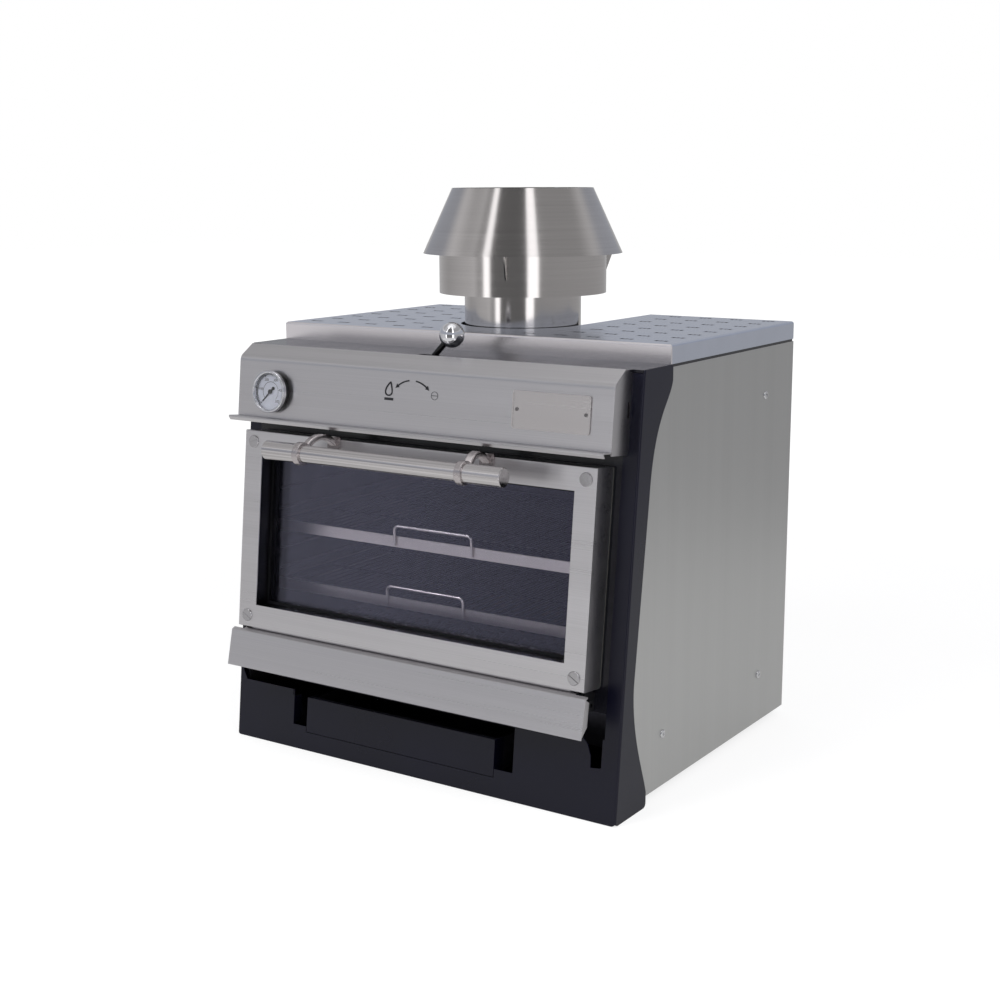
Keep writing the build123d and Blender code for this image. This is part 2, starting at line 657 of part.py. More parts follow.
hat = cone(HAT_FOOT_RADIUS, HAT_TOP_RADIUS, HAT_FOOT, HAT_TOP)
hat_slope = (HAT_FOOT_RADIUS - HAT_TOP_RADIUS) / (HAT_TOP - HAT_FOOT)
hat -= cone(
    HAT_FOOT_RADIUS - HAT_WALL + hat_slope,
    HAT_TOP_RADIUS - HAT_WALL - hat_slope,
    HAT_FOOT - 1,
    HAT_TOP + 1,
)
save("flue_hat", hat)


def hat_inside(z):
    """Return the radius of a point just inside the hat's wall at height z."""
    return HAT_FOOT_RADIUS - HAT_WALL - 0.2 - hat_slope * (z - HAT_FOOT)


gusset_top = COLLAR_TOP + 3
gusset_face = polygon(
    (COLLAR_RADIUS + 0.1, COLLAR_TOP - 58),
    (COLLAR_RADIUS + 8, COLLAR_TOP - 59),
    (hat_inside(HAT_FOOT + 2), HAT_FOOT + 2),
    (hat_inside(gusset_top), gusset_top),
    (COLLAR_RADIUS + 0.1, COLLAR_TOP),
)
gussets = []
for angle in (52, 172, 292):
    gusset = extrude(Plane.XZ * gusset_face, 1, both=True)
    gussets.append(Pos(FLUE_X, FLUE_Y, 0) * Rot(0, 0, angle) * gusset)
save("hat_gussets", Part() + gussets)

# Damper: a blade on a shaft that a ball lever turns
blade_radius = FLUE_RADIUS - FLUE_WALL - 2
shaft_front = -5.0
shaft_end = FLUE_Y + FLUE_RADIUS + 5
shaft = rod((FLUE_X, shaft_front, SHAFT_Z), (FLUE_X, shaft_end, SHAFT_Z), SHAFT_RADIUS)
save("damper_shaft", shaft)
blade = Pos(FLUE_X, FLUE_Y, SHAFT_Z) * Cylinder(blade_radius, 1.5)
blade -= Pos(FLUE_X, FLUE_Y, SHAFT_Z) * Rot(90, 0, 0) * Cylinder(SHAFT_RADIUS, 2 * blade_radius + 4)
sleeve = Pos(FLUE_X, FLUE_Y, SHAFT_Z) * Rot(90, 0, 0) * (
    Cylinder(SHAFT_RADIUS + 2, 150) - Cylinder(SHAFT_RADIUS, 152)
)
blade += sleeve
save("damper_blade", blade)
lean = radians(LEVER_ANGLE)
knob_x = LEVER_LENGTH * sin(lean)
knob_z = SHAFT_Z + LEVER_LENGTH * cos(lean)
lever = rod((0, 0, SHAFT_Z), (knob_x * 0.75, 0, SHAFT_Z + (knob_z - SHAFT_Z) * 0.75), 4.5)
lever += Pos(0, 0, SHAFT_Z) * Rot(90, 0, 0) * Cylinder(8, 10)
lever -= Pos(0, 0, SHAFT_Z) * Rot(90, 0, 0) * Cylinder(SHAFT_RADIUS, 12)
knob = Pos(knob_x, 0, knob_z) * Sphere(KNOB_RADIUS)
lever -= knob
save("damper_lever", Pos(FLUE_X, 0, 0) * lever)
save("damper_knob", Pos(FLUE_X, 0, 0) * knob)
bearing = block(-14, 14, 16, 30, SHAFT_Z - 28, SIDE_TOP)
bearing -= Pos(0, 23, SHAFT_Z) * Rot(90, 0, 0) * Cylinder(SHAFT_RADIUS + RUNNING_FIT, 40)
save("damper_bearing", Pos(FLUE_X, 0, 0) * bearing)

# Door: outer shell, inner frame, two panes, seal and screws
shell_outline = Pos(0, -(DOOR_TOP + DOOR_FOOT) / 2) * Rectangle(2 * DOOR_HALF, DOOR_FOOT - DOOR_TOP)
window = Pos(0, -(WINDOW_TOP + WINDOW_FOOT) / 2) * Rectangle(
    2 * WINDOW_HALF, WINDOW_FOOT - WINDOW_TOP
)
door_deep = DOOR_FRONT - DOOR_BACK
shell = extrude(on_front(shell_outline, DOOR_BACK), door_deep)
shell = fillet(shell.edges().filter_by(Axis.X).sort_by(Axis.Y)[:2], 1.5)
shell -= extrude(on_front(window, DOOR_BACK - 1), door_deep + 2)
hollow = Pos(0, -(DOOR_TOP + DOOR_FOOT) / 2) * Rectangle(
    2 * DOOR_HALF - 2 * PLATE, DOOR_FOOT - DOOR_TOP - 2 * PLATE
)
window_box = Pos(0, -(WINDOW_TOP + WINDOW_FOOT) / 2) * Rectangle(
    2 * WINDOW_HALF + 2 * SHEET, WINDOW_FOOT - WINDOW_TOP + 2 * SHEET
)
shell -= extrude(on_front(hollow - window_box, DOOR_BACK + 2), door_deep - 4)
save("door_shell", shell)
pane = Pos(0, -(WINDOW_TOP + WINDOW_FOOT) / 2) * Rectangle(
    2 * WINDOW_HALF - 0.4, WINDOW_FOOT - WINDOW_TOP - 0.4
)
save("door_glass_outer", extrude(on_front(pane, GLASS_OUT + 5), 4))
save("door_glass_inner", extrude(on_front(pane, GLASS_OUT - 5), 4))
bead_outline = pane - Pos(0, -(WINDOW_TOP + WINDOW_FOOT) / 2) * Rectangle(
    2 * WINDOW_HALF - 9, WINDOW_FOOT - WINDOW_TOP - 9
)
bead = extrude(on_front(bead_outline, GLASS_OUT + 9), 1.5)
bead += extrude(on_front(bead_outline, GLASS_OUT - 1), 6)
bead += extrude(on_front(bead_outline, DOOR_BACK), GLASS_OUT - 5 - DOOR_BACK)
save("door_glass_beads", bead)
seal_outer = Pos(0, -(DOOR_TOP + DOOR_FOOT) / 2) * Rectangle(2 * DOOR_HALF - 2, DOOR_FOOT - DOOR_TOP - 3)
seal_inner = Pos(0, -(MOUTH_TOP + MOUTH_FOOT) / 2) * Rectangle(
    2 * MOUTH_HALF - 1, MOUTH_FOOT - MOUTH_TOP - 1
)
seal = extrude(on_front(seal_outer - seal_inner, 0.3), DOOR_BACK - 0.3)
save("door_seal", seal)
door_screws = []
for screw_x in (17 - DOOR_HALF, DOOR_HALF - 17):
    for screw_s, slot_turn in ((150, 20), (422, -30)):
        head = extrude(Circle(9.8), 2.0)
        head = chamfer(head.edges().group_by(Axis.Z)[-1], 0.8)
        head -= Rot(0, 0, slot_turn) * Pos(0, 0, 1.6) * Box(24, 2.2, 1.4)
        door_screws.append(on_front(Pos(screw_x, -screw_s) * head, DOOR_FRONT))
save("door_screws", Part() + door_screws)

# Door handle
tube = ring(HANDLE_RADIUS, HANDLE_RADIUS - 2, 2 * HANDLE_JOINT)
tube = Pos(-HANDLE_JOINT, 0, 0) * Rot(0, 90, 0) * tube
handle_place = FRONT * Pos(0, -HANDLE_OUT, -HANDLE_S)
save("handle_tube", handle_place * tube)
grip = ring(GRIP_RADIUS, GRIP_RADIUS - 2.5, HANDLE_HALF - HANDLE_JOINT)
grip_cap = Pos(0, 0, HANDLE_HALF - HANDLE_JOINT - 3) * extrude(Circle(GRIP_RADIUS - 2.5), 3)
grip = chamfer(grip.edges().group_by(Axis.Z)[-1].sort_by(SortBy.LENGTH)[-1], 1.2)
grip_right = handle_place * Pos(HANDLE_JOINT, 0, 0) * Rot(0, 90, 0) * (grip + grip_cap)
save("handle_grip_right", grip_right)
save("handle_grip_left", mirrored(grip_right))


def handle_bracket():
    """Return the right bracket: a foot, an arched arm and a ring on the tube."""
    foot_x = 137.0
    foot = on_front(Pos(foot_x, -139) * extrude(RectangleRounded(24, 20, 3), 3), DOOR_FRONT)
    path = Bezier(
        (foot_x, -DOOR_FRONT - 3.2, -139),
        (foot_x, -72, -124),
        (foot_x + 3, -93, -126),
        (foot_x + 7, -HANDLE_OUT + 9, -HANDLE_S + 9),
    )
    start = Plane(origin=path @ 0, x_dir=(1, 0, 0), z_dir=path % 0)
    arm = FRONT * sweep(start * RectangleRounded(13, 9, 3), path=path)
    hoop = Pos(foot_x + 1, 0, 0) * Rot(0, 90, 0) * ring(HOOP_RADIUS, HANDLE_RADIUS, 11)
    hoop = fillet(hoop.edges().sort_by(SortBy.LENGTH)[-2:], 1.5)
    piece = foot + arm + handle_place * hoop
    tube_room = Pos(foot_x - 20, 0, 0) * Rot(0, 90, 0) * extrude(Circle(HANDLE_RADIUS), 60)
    grip_room = Pos(HANDLE_JOINT - 0.2, 0, 0) * Rot(0, 90, 0) * extrude(Circle(GRIP_RADIUS + 0.1), 30)
    return piece - handle_place * tube_room - handle_place * grip_room


bracket = handle_bracket()
save("handle_bracket_right", bracket)
save("handle_bracket_left", mirrored(bracket))

# Hinges: arms on the door, brackets on the frame, bolts through both
root_to = ROOT_FROM + 6.5
hinge_spot = Pos(-HINGE_OUT, -HINGE_S)
arm_face = hinge_spot * Circle(11) + polygon(
    (-HINGE_OUT - 11, -HINGE_S),
    (-HINGE_OUT - 11, -DOOR_FOOT),
    (-HINGE_OUT + 11, -DOOR_FOOT),
    (-HINGE_OUT + 11, -HINGE_S),
)
arm_face -= hinge_spot * Circle(HINGE_BOLT_RADIUS + RUNNING_FIT)
arm = extrude(along_front(arm_face, ARM_FROM), ARM_TO - ARM_FROM)
save("hinge_arms", arm + mirrored(arm))
root_face = hinge_spot * Circle(12) + polygon(
    (-HINGE_OUT, -HINGE_S + 12), (0, -HINGE_S + 12), (0, -HINGE_S - 14), (-HINGE_OUT, -HINGE_S - 12)
)
root_face -= hinge_spot * Circle(HINGE_BOLT_RADIUS)
root = extrude(along_front(root_face, ROOT_FROM), root_to - ROOT_FROM)
save("hinge_brackets", root + mirrored(root))
hinge_axis = FRONT * Pos(0, -HINGE_OUT, -HINGE_S)
bolt = Pos(ROOT_FROM - 6, 0, 0) * Rot(0, 90, 0) * extrude(Circle(HINGE_BOLT_RADIUS), 20)
bolt_head = extrude(Circle(7.5), 5)
bolt_head = fillet(bolt_head.edges().group_by(Axis.Z)[-1], 1.2)
bolt_head -= Pos(0, 0, 2.4) * extrude(RegularPolygon(3.6, 6), 4)
bolt += Pos(ARM_TO + 0.5, 0, 0) * Rot(0, 90, 0) * bolt_head
bolt += Pos(ROOT_FROM - 6, 0, 0) * Rot(0, 90, 0) * extrude(RegularPolygon(7.5, 6), 6)
hinge_bolt = hinge_axis * bolt
save("hinge_bolts", hinge_bolt + mirrored(hinge_bolt))

# Apron that hangs from the foot of the door
apron_line = [(-HINGE_OUT, -DOOR_FOOT - 1.8), (-44, -DOOR_FOOT - 1.8), (-53.7, -446.5), (-60.7, -502)]
apron = extrude(along_front(ribbon(apron_line, SHEET, 2.5), -APRON_HALF), 2 * APRON_HALF)
for side in (-1, 1):
    relief = block(-APRON_RELIEF, APRON_RELIEF, -48, 0, -HINGE_S - 10, -DOOR_FOOT + 10)
    relief = Pos(side * (ARM_TO + 3.5), 0, 0) * relief
    apron -= FRONT * relief
apron_flange = ROOT_FROM - 8
apron += front_block(-apron_flange, apron_flange, HINGE_OUT + 2, 42, DOOR_FOOT, DOOR_FOOT + 1.8)
apron_end = polygon((-54, -447), (-60.5, -501), (-46, -486), (-44, -452))
apron_cap = extrude(along_front(apron_end, APRON_HALF - SHEET), SHEET)
apron += apron_cap + mirrored(apron_cap)
save("apron", apron)

# Ash drawer
drawer_front = front_block(DRAWER_LEFT, DRAWER_RIGHT, -SHEET, 0, DRAWER_TOP, DRAWER_FOOT)
drawer_front += front_block(DRAWER_LEFT, DRAWER_RIGHT, -10, 0, DRAWER_TOP, DRAWER_TOP + SHEET)
for side_x in (DRAWER_LEFT, DRAWER_RIGHT - SHEET):
    drawer_front += front_block(side_x, side_x + SHEET, -24, 0, DRAWER_TOP, DRAWER_FOOT)
save("ash_drawer_front", drawer_front)
tray_left = DRAWER_LEFT + 2.5
tray_right = DRAWER_RIGHT - 2.5
tray_face = polygon(
    (front_y(TRAY_FOOT, -SHEET), TRAY_FOOT),
    (DRAWER_BACK, TRAY_FOOT),
    (DRAWER_BACK, TRAY_TOP),
    (front_y(TRAY_TOP, -SHEET), TRAY_TOP),
)
tray = extrude(across(tray_face, tray_left), tray_right - tray_left)
tray_core = polygon(
    (front_y(TRAY_FOOT, -2 * SHEET), TRAY_FOOT + SHEET),
    (DRAWER_BACK - SHEET, TRAY_FOOT + SHEET),
    (DRAWER_BACK - SHEET, TRAY_TOP + 10),
    (front_y(TRAY_TOP + 10, -2 * SHEET), TRAY_TOP + 10),
)
tray -= extrude(across(tray_core, tray_left + SHEET), tray_right - tray_left - 2 * SHEET)
save("ash_drawer_tray", tray)
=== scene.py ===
import logging
import math
from dataclasses import dataclass
from enum import Enum
from typing import Iterable, Sequence

import bpy
from mathutils import Matrix, Vector


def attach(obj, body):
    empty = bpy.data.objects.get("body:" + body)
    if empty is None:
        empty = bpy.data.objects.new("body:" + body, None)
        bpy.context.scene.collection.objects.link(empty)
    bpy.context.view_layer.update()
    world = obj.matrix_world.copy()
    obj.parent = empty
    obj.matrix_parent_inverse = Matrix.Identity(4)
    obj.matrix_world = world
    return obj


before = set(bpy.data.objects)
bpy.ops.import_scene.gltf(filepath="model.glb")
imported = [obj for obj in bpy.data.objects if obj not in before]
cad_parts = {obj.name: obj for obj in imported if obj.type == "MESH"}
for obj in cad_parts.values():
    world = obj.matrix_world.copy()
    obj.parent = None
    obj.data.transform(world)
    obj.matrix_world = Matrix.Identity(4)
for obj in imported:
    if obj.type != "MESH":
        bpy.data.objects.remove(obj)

log = logging.getLogger("charcoal_oven")

Colour = tuple[float, float, float]
Triple = tuple[float, float, float]
Pair = tuple[float, float]
Node = bpy.types.Node
Socket = bpy.types.NodeSocket
Thing = bpy.types.Object


class Grain(Enum):
    """The way a sheet was brushed: 1 along an axis that the streaks follow, else 0."""

    ALONG_X = (1, 0, 0)
    ALONG_Z = (0, 0, 1)
    ROUND_FLUE = (1, 1, 0)
    NONE = (0, 0, 0)

    def scale(self, across: float, along: float) -> Triple:
        """Return a noise scale that is fine across the streaks and coarse along them."""
        return tuple(along if axis else across for axis in self.value)


class Board:
    """Lays out the nodes of one material or of the world."""

    def __init__(self, tree: bpy.types.NodeTree) -> None:
        """Start from an empty node tree.

        Args:
            tree: the node tree that the nodes go into.
        """
        self.tree = tree
        self.tree.nodes.clear()
        self.column = 0

    def add(self, kind: str, **settings: object) -> Node:
        """Add one node.

        Args:
            kind: the node's Blender type.
            **settings: properties of the node, and what its inputs get, as feed takes it.

        Returns:
            The new node.
        """
        node = self.tree.nodes.new(kind)
        node.location = (self.column * 190, 0)
        self.column += 1
        for key, value in settings.items():
            if hasattr(node, key):
                setattr(node, key, value)
            else:
                self.feed(node, **{key: value})
        return node

    def join(self, source: Socket, target: Socket) -> None:
        """Link an output to an input."""
        self.tree.links.new(source, target)

    def give(self, target: Socket, value: object) -> None:
        """Link an input, or set it.

        Args:
            target: the input.
            value: an output socket to link it to, or a plain value.
        """
        if isinstance(value, Socket):
            self.join(value, target)
        else:
            target.default_value = value

    def feed(self, node: Node, **values: object) -> None:
        """Fill some inputs of a node.

        Args:
            node: the node.
            **values: a socket or a plain value for each input, by its name with _ for a space.
        """
        for key, value in values.items():
            self.give(node.inputs[key.replace("_", " ")], value)

    def noise(self, scale: Triple, detail: float = 2.0, roughness: float = 0.5) -> Socket:
        """Add a noise on Object coordinates.

        Args:
            scale: how fine the noise is along each axis.
            detail: the number of layers in it.
            roughness: how strong the fine layers are.

        Returns:
            The socket with the noise value.
        """
        place = self.add("ShaderNodeTexCoord").outputs["Object"]
        stretch = self.add("ShaderNodeMapping", Vector=place, Scale=scale)
        noise = self.add("ShaderNodeTexNoise", Scale=1.0, Detail=detail, Roughness=roughness)
        self.feed(noise, Vector=stretch.outputs["Vector"])
        return noise.outputs["Fac"]

    def spread(
        self,
        value: Socket,
        low: float = 0.0,
        high: float = 1.0,
        start: float = 0.3,
        end: float = 0.7,
    ) -> Socket:
        """Map a value from one range to another.

        Args:
            value: the socket with the value.
            low: the result at the start.
            high: the result at the end.
            start: the value that gives the low result.
            end: the value that gives the high result.

        Returns:
            The socket with the mapped value.
        """
        node = self.add("ShaderNodeMapRange", Value=value, To_Min=low, To_Max=high)
        self.feed(node, From_Min=start, From_Max=end)
        return node.outputs["Result"]

    def mix(self, share: object, first: object, second: object, **settings: object) -> Socket:
        """Mix two colours; the share and both colours are sockets or plain values.

        Args:
            share: how much of the second colour shows.
            first: the colour at 0.
            second: the colour at 1.
            **settings: properties of the node.

        Returns:
            The socket with the mixed colour.
        """
        node = self.add("ShaderNodeMix", data_type="RGBA", Factor=share, **settings)
        colours = [socket for socket in node.inputs if socket.type == "RGBA"]
        self.give(colours[0], first)
        self.give(colours[1], second)
        return next(socket for socket in node.outputs if socket.type == "RGBA")

    def tint(self, value: Socket, dark: Colour, light: Colour) -> Socket:
        """Mix two plain colours by a value."""
        return self.mix(value, (*dark, 1.0), (*light, 1.0))

    def vary(self, value: Socket, tone: Colour, swing: Pair) -> Socket:
        """Vary a tone between a darker and a lighter shade of it.

        Args:
            value: the socket that chooses between them.
            tone: the tone.
            swing: the factors that give the darker and the lighter shade.

        Returns:
            The socket with the colour.
        """
        dark, light = swing
        return self.tint(value, shade(tone, dark), shade(tone, light))

    def either(self, share: Socket, first: Socket, second: Socket) -> Socket:
        """Mix two shaders.

        Args:
            share: how much of the second shader shows.
            first: the shader at 0.
            second: the shader at 1.

        Returns:
            The socket with the mixed shader.
        """
        node = self.add("ShaderNodeMixShader", Fac=share)
        self.join(first, node.inputs[1])
        self.join(second, node.inputs[2])
        return node.outputs["Shader"]

    def calc(self, operation: str, *values: object) -> Socket:
        """Add one step of arithmetic.

        Args:
            operation: what it does.
            *values: its inputs in order, each a socket or a plain number.

        Returns:
            The socket with the result.
        """
        node = self.add("ShaderNodeMath", operation=operation)
        for target, value in zip(node.inputs, values):
            self.give(target, value)
        return node.outputs[0]

    def product(self, first: Socket, second: Socket) -> Socket:
        """Multiply two values."""
        return self.calc("MULTIPLY", first, second)

    def reach(self, way: Triple, start: float, end: float) -> Socket:
        """Measure how far a point lies along a direction.

        Args:
            way: the direction, in Object coordinates.
            start: the distance from the origin where the result is 0.
            end: the distance where it is 1; it may be the smaller one.

        Returns:
            The socket with a value from 0 to 1.
        """
        place = self.add("ShaderNodeTexCoord")
        dot = self.add("ShaderNodeVectorMath", operation="DOT_PRODUCT")
        self.give(dot.inputs[0], place.outputs["Object"])
        self.give(dot.inputs[1], way)
        return self.spread(dot.outputs["Value"], start=start, end=end)

    def within(self, half: float, fade: float = 0.0003) -> Socket:
        """Tell how far a point is from the middle plane.

        Args:
            half: the distance up to which the result is 1.
            fade: the width over which it falls to 0.

        Returns:
            The socket with a value from 0 to 1.
        """
        right = self.reach((1, 0, 0), half + fade, half)
        left = self.reach((1, 0, 0), -half - fade, -half)
        return self.product(right, left)

    def repaint(self, surface: Node, where: Socket, tone: Colour) -> None:
        """Lay another colour over part of a surface.

        Args:
            surface: the shader whose base colour is already linked.
            where: the socket that is 1 where the new colour shows.
            tone: the new colour.
        """
        base = surface.inputs["Base Color"]
        old = base.links[0].from_socket
        self.join(self.mix(where, old, (*tone, 1.0)), base)

    def bump(self, height: Socket, strength: float, distance: float) -> Socket:
        """Turn a height into a surface normal.

        Args:
            height: the socket with the height.
            strength: how much of the bump shows.
            distance: its depth in metres.

        Returns:
            The socket with the normal.
        """
        node = self.add("ShaderNodeBump", Height=height, Strength=strength, Distance=distance)
        return node.outputs["Normal"]


@dataclass(frozen=True)
class FrontPlane:
    """The leaning front: where it stands and how far it leans."""

    lean: float = math.radians(6.2)
    top: Triple = (0.0, -0.177074, 0.628)

    def axes(self) -> tuple[Vector, Vector, Vector]:
        """Return the directions right, up the slope and out of the front."""
        sine, cosine = math.sin(self.lean), math.cos(self.lean)
        return Vector((1, 0, 0)), Vector((0, sine, cosine)), Vector((0, -cosine, sine))

    def place(self, x: float, down: float, out: float) -> Matrix:
        """Give the placement of a drawing on the front.

        Args:
            x: the distance right of the middle.
            down: the distance down the slope.
            out: the distance out of the plane.

        Returns:
            The matrix that stands a flat drawing there, facing outward.
        """
        across, up, outward = self.axes()
        spot = Vector(self.top) + across * x - up * down + outward * out
        matrix = Matrix((across, up, outward)).transposed().to_4x4()
        matrix.translation = spot
        return matrix


FRONT = FrontPlane()


def shade(value: Colour, factor: float) -> Colour:
    """Return a colour made darker or lighter by a factor."""
    return tuple(min(1.0, channel * factor) for channel in value)


@dataclass(frozen=True)
class Finish:
    """A finish with a name; the kinds below say how it looks."""

    name: str

    def build(self) -> bpy.types.Material:
        """Make the material.

        Returns:
            The new material.
        """
        material = bpy.data.materials.new(self.name)
        material.use_nodes = True
        board = Board(material.node_tree)
        output = board.add("ShaderNodeOutputMaterial")
        surface = board.add("ShaderNodeBsdfPrincipled")
        board.join(surface.outputs["BSDF"], output.inputs["Surface"])
        self.paint(board, surface)
        return material

    def paint(self, board: Board, surface: Node) -> None:
        """Fill in the shader; every kind of finish has its own."""
        raise NotImplementedError


@dataclass(frozen=True)
class BrushedSteel(Finish):
    """Stainless sheet with fine brush streaks over broad, faint bands."""

    tone: Colour = (0.60, 0.59, 0.58)
    grain: Grain = Grain.ALONG_X
    smooth: float = 0.26
    rough: float = 0.34
    fine: float = 950.0
    fine_along: float = 2.5
    broad: float = 26.0
    broad_along: float = 0.6
    streak_share: float = 0.5
    streak_strength: float = 0.3
    streak_depth: float = 0.000012
    contrast: float = 0.05

    def paint(self, board: Board, surface: Node) -> None:
        """Lay streaks along the grain into colour, roughness and bump.

        Args:
            board: the node board.
            surface: the shader.
        """
        streaks = board.noise(self.grain.scale(self.fine, self.fine_along))
        bands = board.noise(self.grain.scale(self.broad, self.broad_along))
        bands = board.calc("MULTIPLY", bands, 1 - self.streak_share)
        mixed = board.calc("MULTIPLY_ADD", streaks, self.streak_share, bands)
        shine = board.spread(mixed, start=0.35, end=0.65)
        swing = (1 - self.contrast, 1 + self.contrast)
        board.feed(
            surface,
            Base_Color=board.vary(shine, self.tone, swing),
            Roughness=board.spread(mixed, self.smooth, self.rough),
            Normal=board.bump(streaks, self.streak_strength, self.streak_depth),
            Metallic=1.0,
        )


@dataclass(frozen=True)
class PunchedSteel(BrushedSteel):
    """Brushed cover sheet with painted shade in its holes and beneath it, and a painted highlight
    on the front fold.
    """

    skin: float = 0.65535
    half_width: float = 0.343
    front: float = -0.0945
    rear: float = 0.3205
    fold_fade: float = 0.003
    edge_fade: float = 0.001
    skin_fade: float = 0.0001
    # Painted shade for the holes and beneath the sheet, and a painted highlight for the front
    # fold.
    hole_shade: Colour = (0.012, 0.012, 0.014)
    fold_highlight: Colour = (0.93, 0.89, 0.91)

    def paint(self, board: Board, surface: Node) -> None:
        """Paint a highlight on the front fold, and paint shade on what lies below the skin but
        the rim.

        Args:
            board: the node board.
            surface: the shader.
        """
        super().paint(board, surface)
        # Painted highlight: the front fold is lightened.
        fold = board.reach((0, 1, 0), self.front, self.front - self.fold_fade)
        board.repaint(surface, fold, self.fold_highlight)
        # Painted shade: the hole walls and the underside inside the rim are darkened.
        below = board.reach((0, 0, 1), self.skin + self.skin_fade, self.skin)
        behind = board.reach((0, 1, 0), self.front, self.front + self.edge_fade)
        before = board.reach((0, 1, 0), self.rear, self.rear - self.edge_fade)
        inside = board.product(board.within(self.half_width), board.product(behind, before))
        board.repaint(surface, board.product(below, inside), self.hole_shade)


@dataclass(frozen=True)
class FramedSteel(BrushedSteel):
    """Brushed door sheet whose window reveal is darkened."""

    face: float = 0.0460
    half_window: float = 0.2812
    window_top: float = 0.1660
    window_foot: float = 0.4050
    face_fade: float = 0.001
    edge_fade: float = 0.0004
    reveal_dark: Colour = (0.05, 0.05, 0.055)

    def paint(self, board: Board, surface: Node) -> None:
        """Darken the reveal behind the face of the door.

        Args:
            board: the node board.
            surface: the shader.
        """
        super().paint(board, surface)
        _, up, outward = FRONT.axes()
        level = outward.dot(Vector(FRONT.top)) + self.face
        behind = board.reach(tuple(outward), level, level - self.face_fade)
        down = -up
        edge = down.dot(Vector(FRONT.top))
        top, foot = edge + self.window_top, edge + self.window_foot
        below = board.reach(tuple(down), top, top + self.edge_fade)
        above = board.reach(tuple(down), foot, foot - self.edge_fade)
        inside = board.product(board.within(self.half_window), board.product(below, above))
        # The window reveal behind the door's face is darkened.
        board.repaint(surface, board.product(behind, inside), self.reveal_dark)


@dataclass(frozen=True)
class RackSteel(BrushedSteel):
    """Rack steel with a bright front bar and painted shade on the wires behind it."""

    front: float = -0.1745
    front_fade: float = 0.004
    soot_and_shade: Colour = (0.045, 0.043, 0.062)

    def paint(self, board: Board, surface: Node) -> None:
        """Paint shade on the wires behind the front bar.

        Args:
            board: the node board.
            surface: the shader.
        """
        super().paint(board, surface)
        # Painted shade: the wires behind the front bar are darkened for the dark inside of the
        # oven.
        wires = board.reach((0, 1, 0), self.front, self.front + self.front_fade)
        board.repaint(surface, wires, self.soot_and_shade)


@dataclass(frozen=True)
class PolishedSteel(Finish):
    """Bright steel with fine wipe marks."""

    tone: Colour = (0.72, 0.72, 0.73)
    swing: Pair = (0.95, 1.04)
    wipe: Triple = (90.0, 90.0, 40.0)
    smooth: float = 0.05
    rough: float = 0.14

    def paint(self, board: Board, surface: Node) -> None:
        """Give the shine a little unevenness.

        Args:
            board: the node board.
            surface: the shader.
        """
        marks = board.noise(self.wipe, detail=4.0, roughness=0.6)
        board.feed(
            surface,
            Base_Color=board.vary(board.spread(marks), self.tone, self.swing),
            Roughness=board.spread(marks, self.smooth, self.rough),
            Metallic=1.0,
        )


@dataclass(frozen=True)
class StovePaint(Finish):
    """Dark powder coat with a fine grain and a soft sheen."""

    tone: Colour = (0.0025, 0.0025, 0.0095)
    swing: Pair = (0.85, 1.15)
    speckle: Triple = (900.0, 900.0, 900.0)
    wave: Triple = (7.0, 7.0, 7.0)
    smooth: float = 0.26
    rough: float = 0.36
    sheen: float = 0.33

    def paint(self, board: Board, surface: Node) -> None:
        """Grain the coat and vary its gloss.

        Args:
            board: the node board.
            surface: the shader.
        """
        speckle = board.noise(self.speckle)
        wave = board.noise(self.wave)
        board.feed(
            surface,
            Base_Color=board.vary(board.spread(wave), self.tone, self.swing),
            Roughness=board.spread(wave, self.smooth, self.rough),
            Normal=board.bump(speckle, strength=0.10, distance=0.00004),
            Specular_IOR_Level=self.sheen,
        )


@dataclass(frozen=True)
class WarmedSteel(Finish):
    """Liner steel that heat and smoke have darkened."""

    clean: Colour = (0.11, 0.11, 0.135)
    soot_and_shade: Colour = (0.035, 0.034, 0.04)
    patches: Triple = (9.0, 9.0, 14.0)
    streaks: Triple = (4.0, 160.0, 160.0)
    smooth: float = 0.35
    rough: float = 0.6

    def paint(self, board: Board, surface: Node) -> None:
        """Lay soot in soft patches over the steel.

        Args:
            board: the node board.
            surface: the shader.
        """
        soot = board.noise(self.patches, detail=5.0, roughness=0.6)
        streaks = board.noise(self.streaks, detail=3.0)
        board.feed(
            surface,
            Base_Color=board.tint(board.spread(soot), self.clean, self.soot_and_shade),
            Roughness=board.spread(soot, self.smooth, self.rough),
            Normal=board.bump(streaks, strength=0.2, distance=0.00005),
            Metallic=0.85,
        )


@dataclass(frozen=True)
class CastIron(Finish):
    """Raw casting with a sandy skin."""

    tone: Colour = (0.035, 0.033, 0.032)
    rusty: Colour = (0.09, 0.05, 0.035)
    sand: Triple = (420.0, 420.0, 420.0)
    bloom: Triple = (30.0, 30.0, 30.0)

    def paint(self, board: Board, surface: Node) -> None:
        """Pit the skin of the casting.

        Args:
            board: the node board.
            surface: the shader.
        """
        sand = board.noise(self.sand, detail=5.0, roughness=0.7)
        rust = board.noise(self.bloom, detail=3.0, roughness=0.6)
        board.feed(
            surface,
            Base_Color=board.tint(board.spread(rust, start=0.5, end=0.8), self.tone, self.rusty),
            Roughness=board.spread(sand, 0.55, 0.8),
            Normal=board.bump(sand, strength=0.5, distance=0.0004),
            Metallic=0.5,
        )


@dataclass(frozen=True)
class MineralWool(Finish):
    """Pale fibre slab."""

    tone: Colour = (0.72, 0.69, 0.60)
    swing: Pair = (0.7, 1.0)
    fibre: Triple = (140.0, 260.0, 60.0)

    def paint(self, board: Board, surface: Node) -> None:
        """Tangle the fibres.

        Args:
            board: the node board.
            surface: the shader.
        """
        fibre = board.noise(self.fibre, detail=6.0, roughness=0.75)
        board.feed(
            surface,
            Base_Color=board.vary(board.spread(fibre), self.tone, self.swing),
            Roughness=board.spread(fibre, 0.8, 1.0),
            Normal=board.bump(fibre, strength=0.8, distance=0.002),
        )


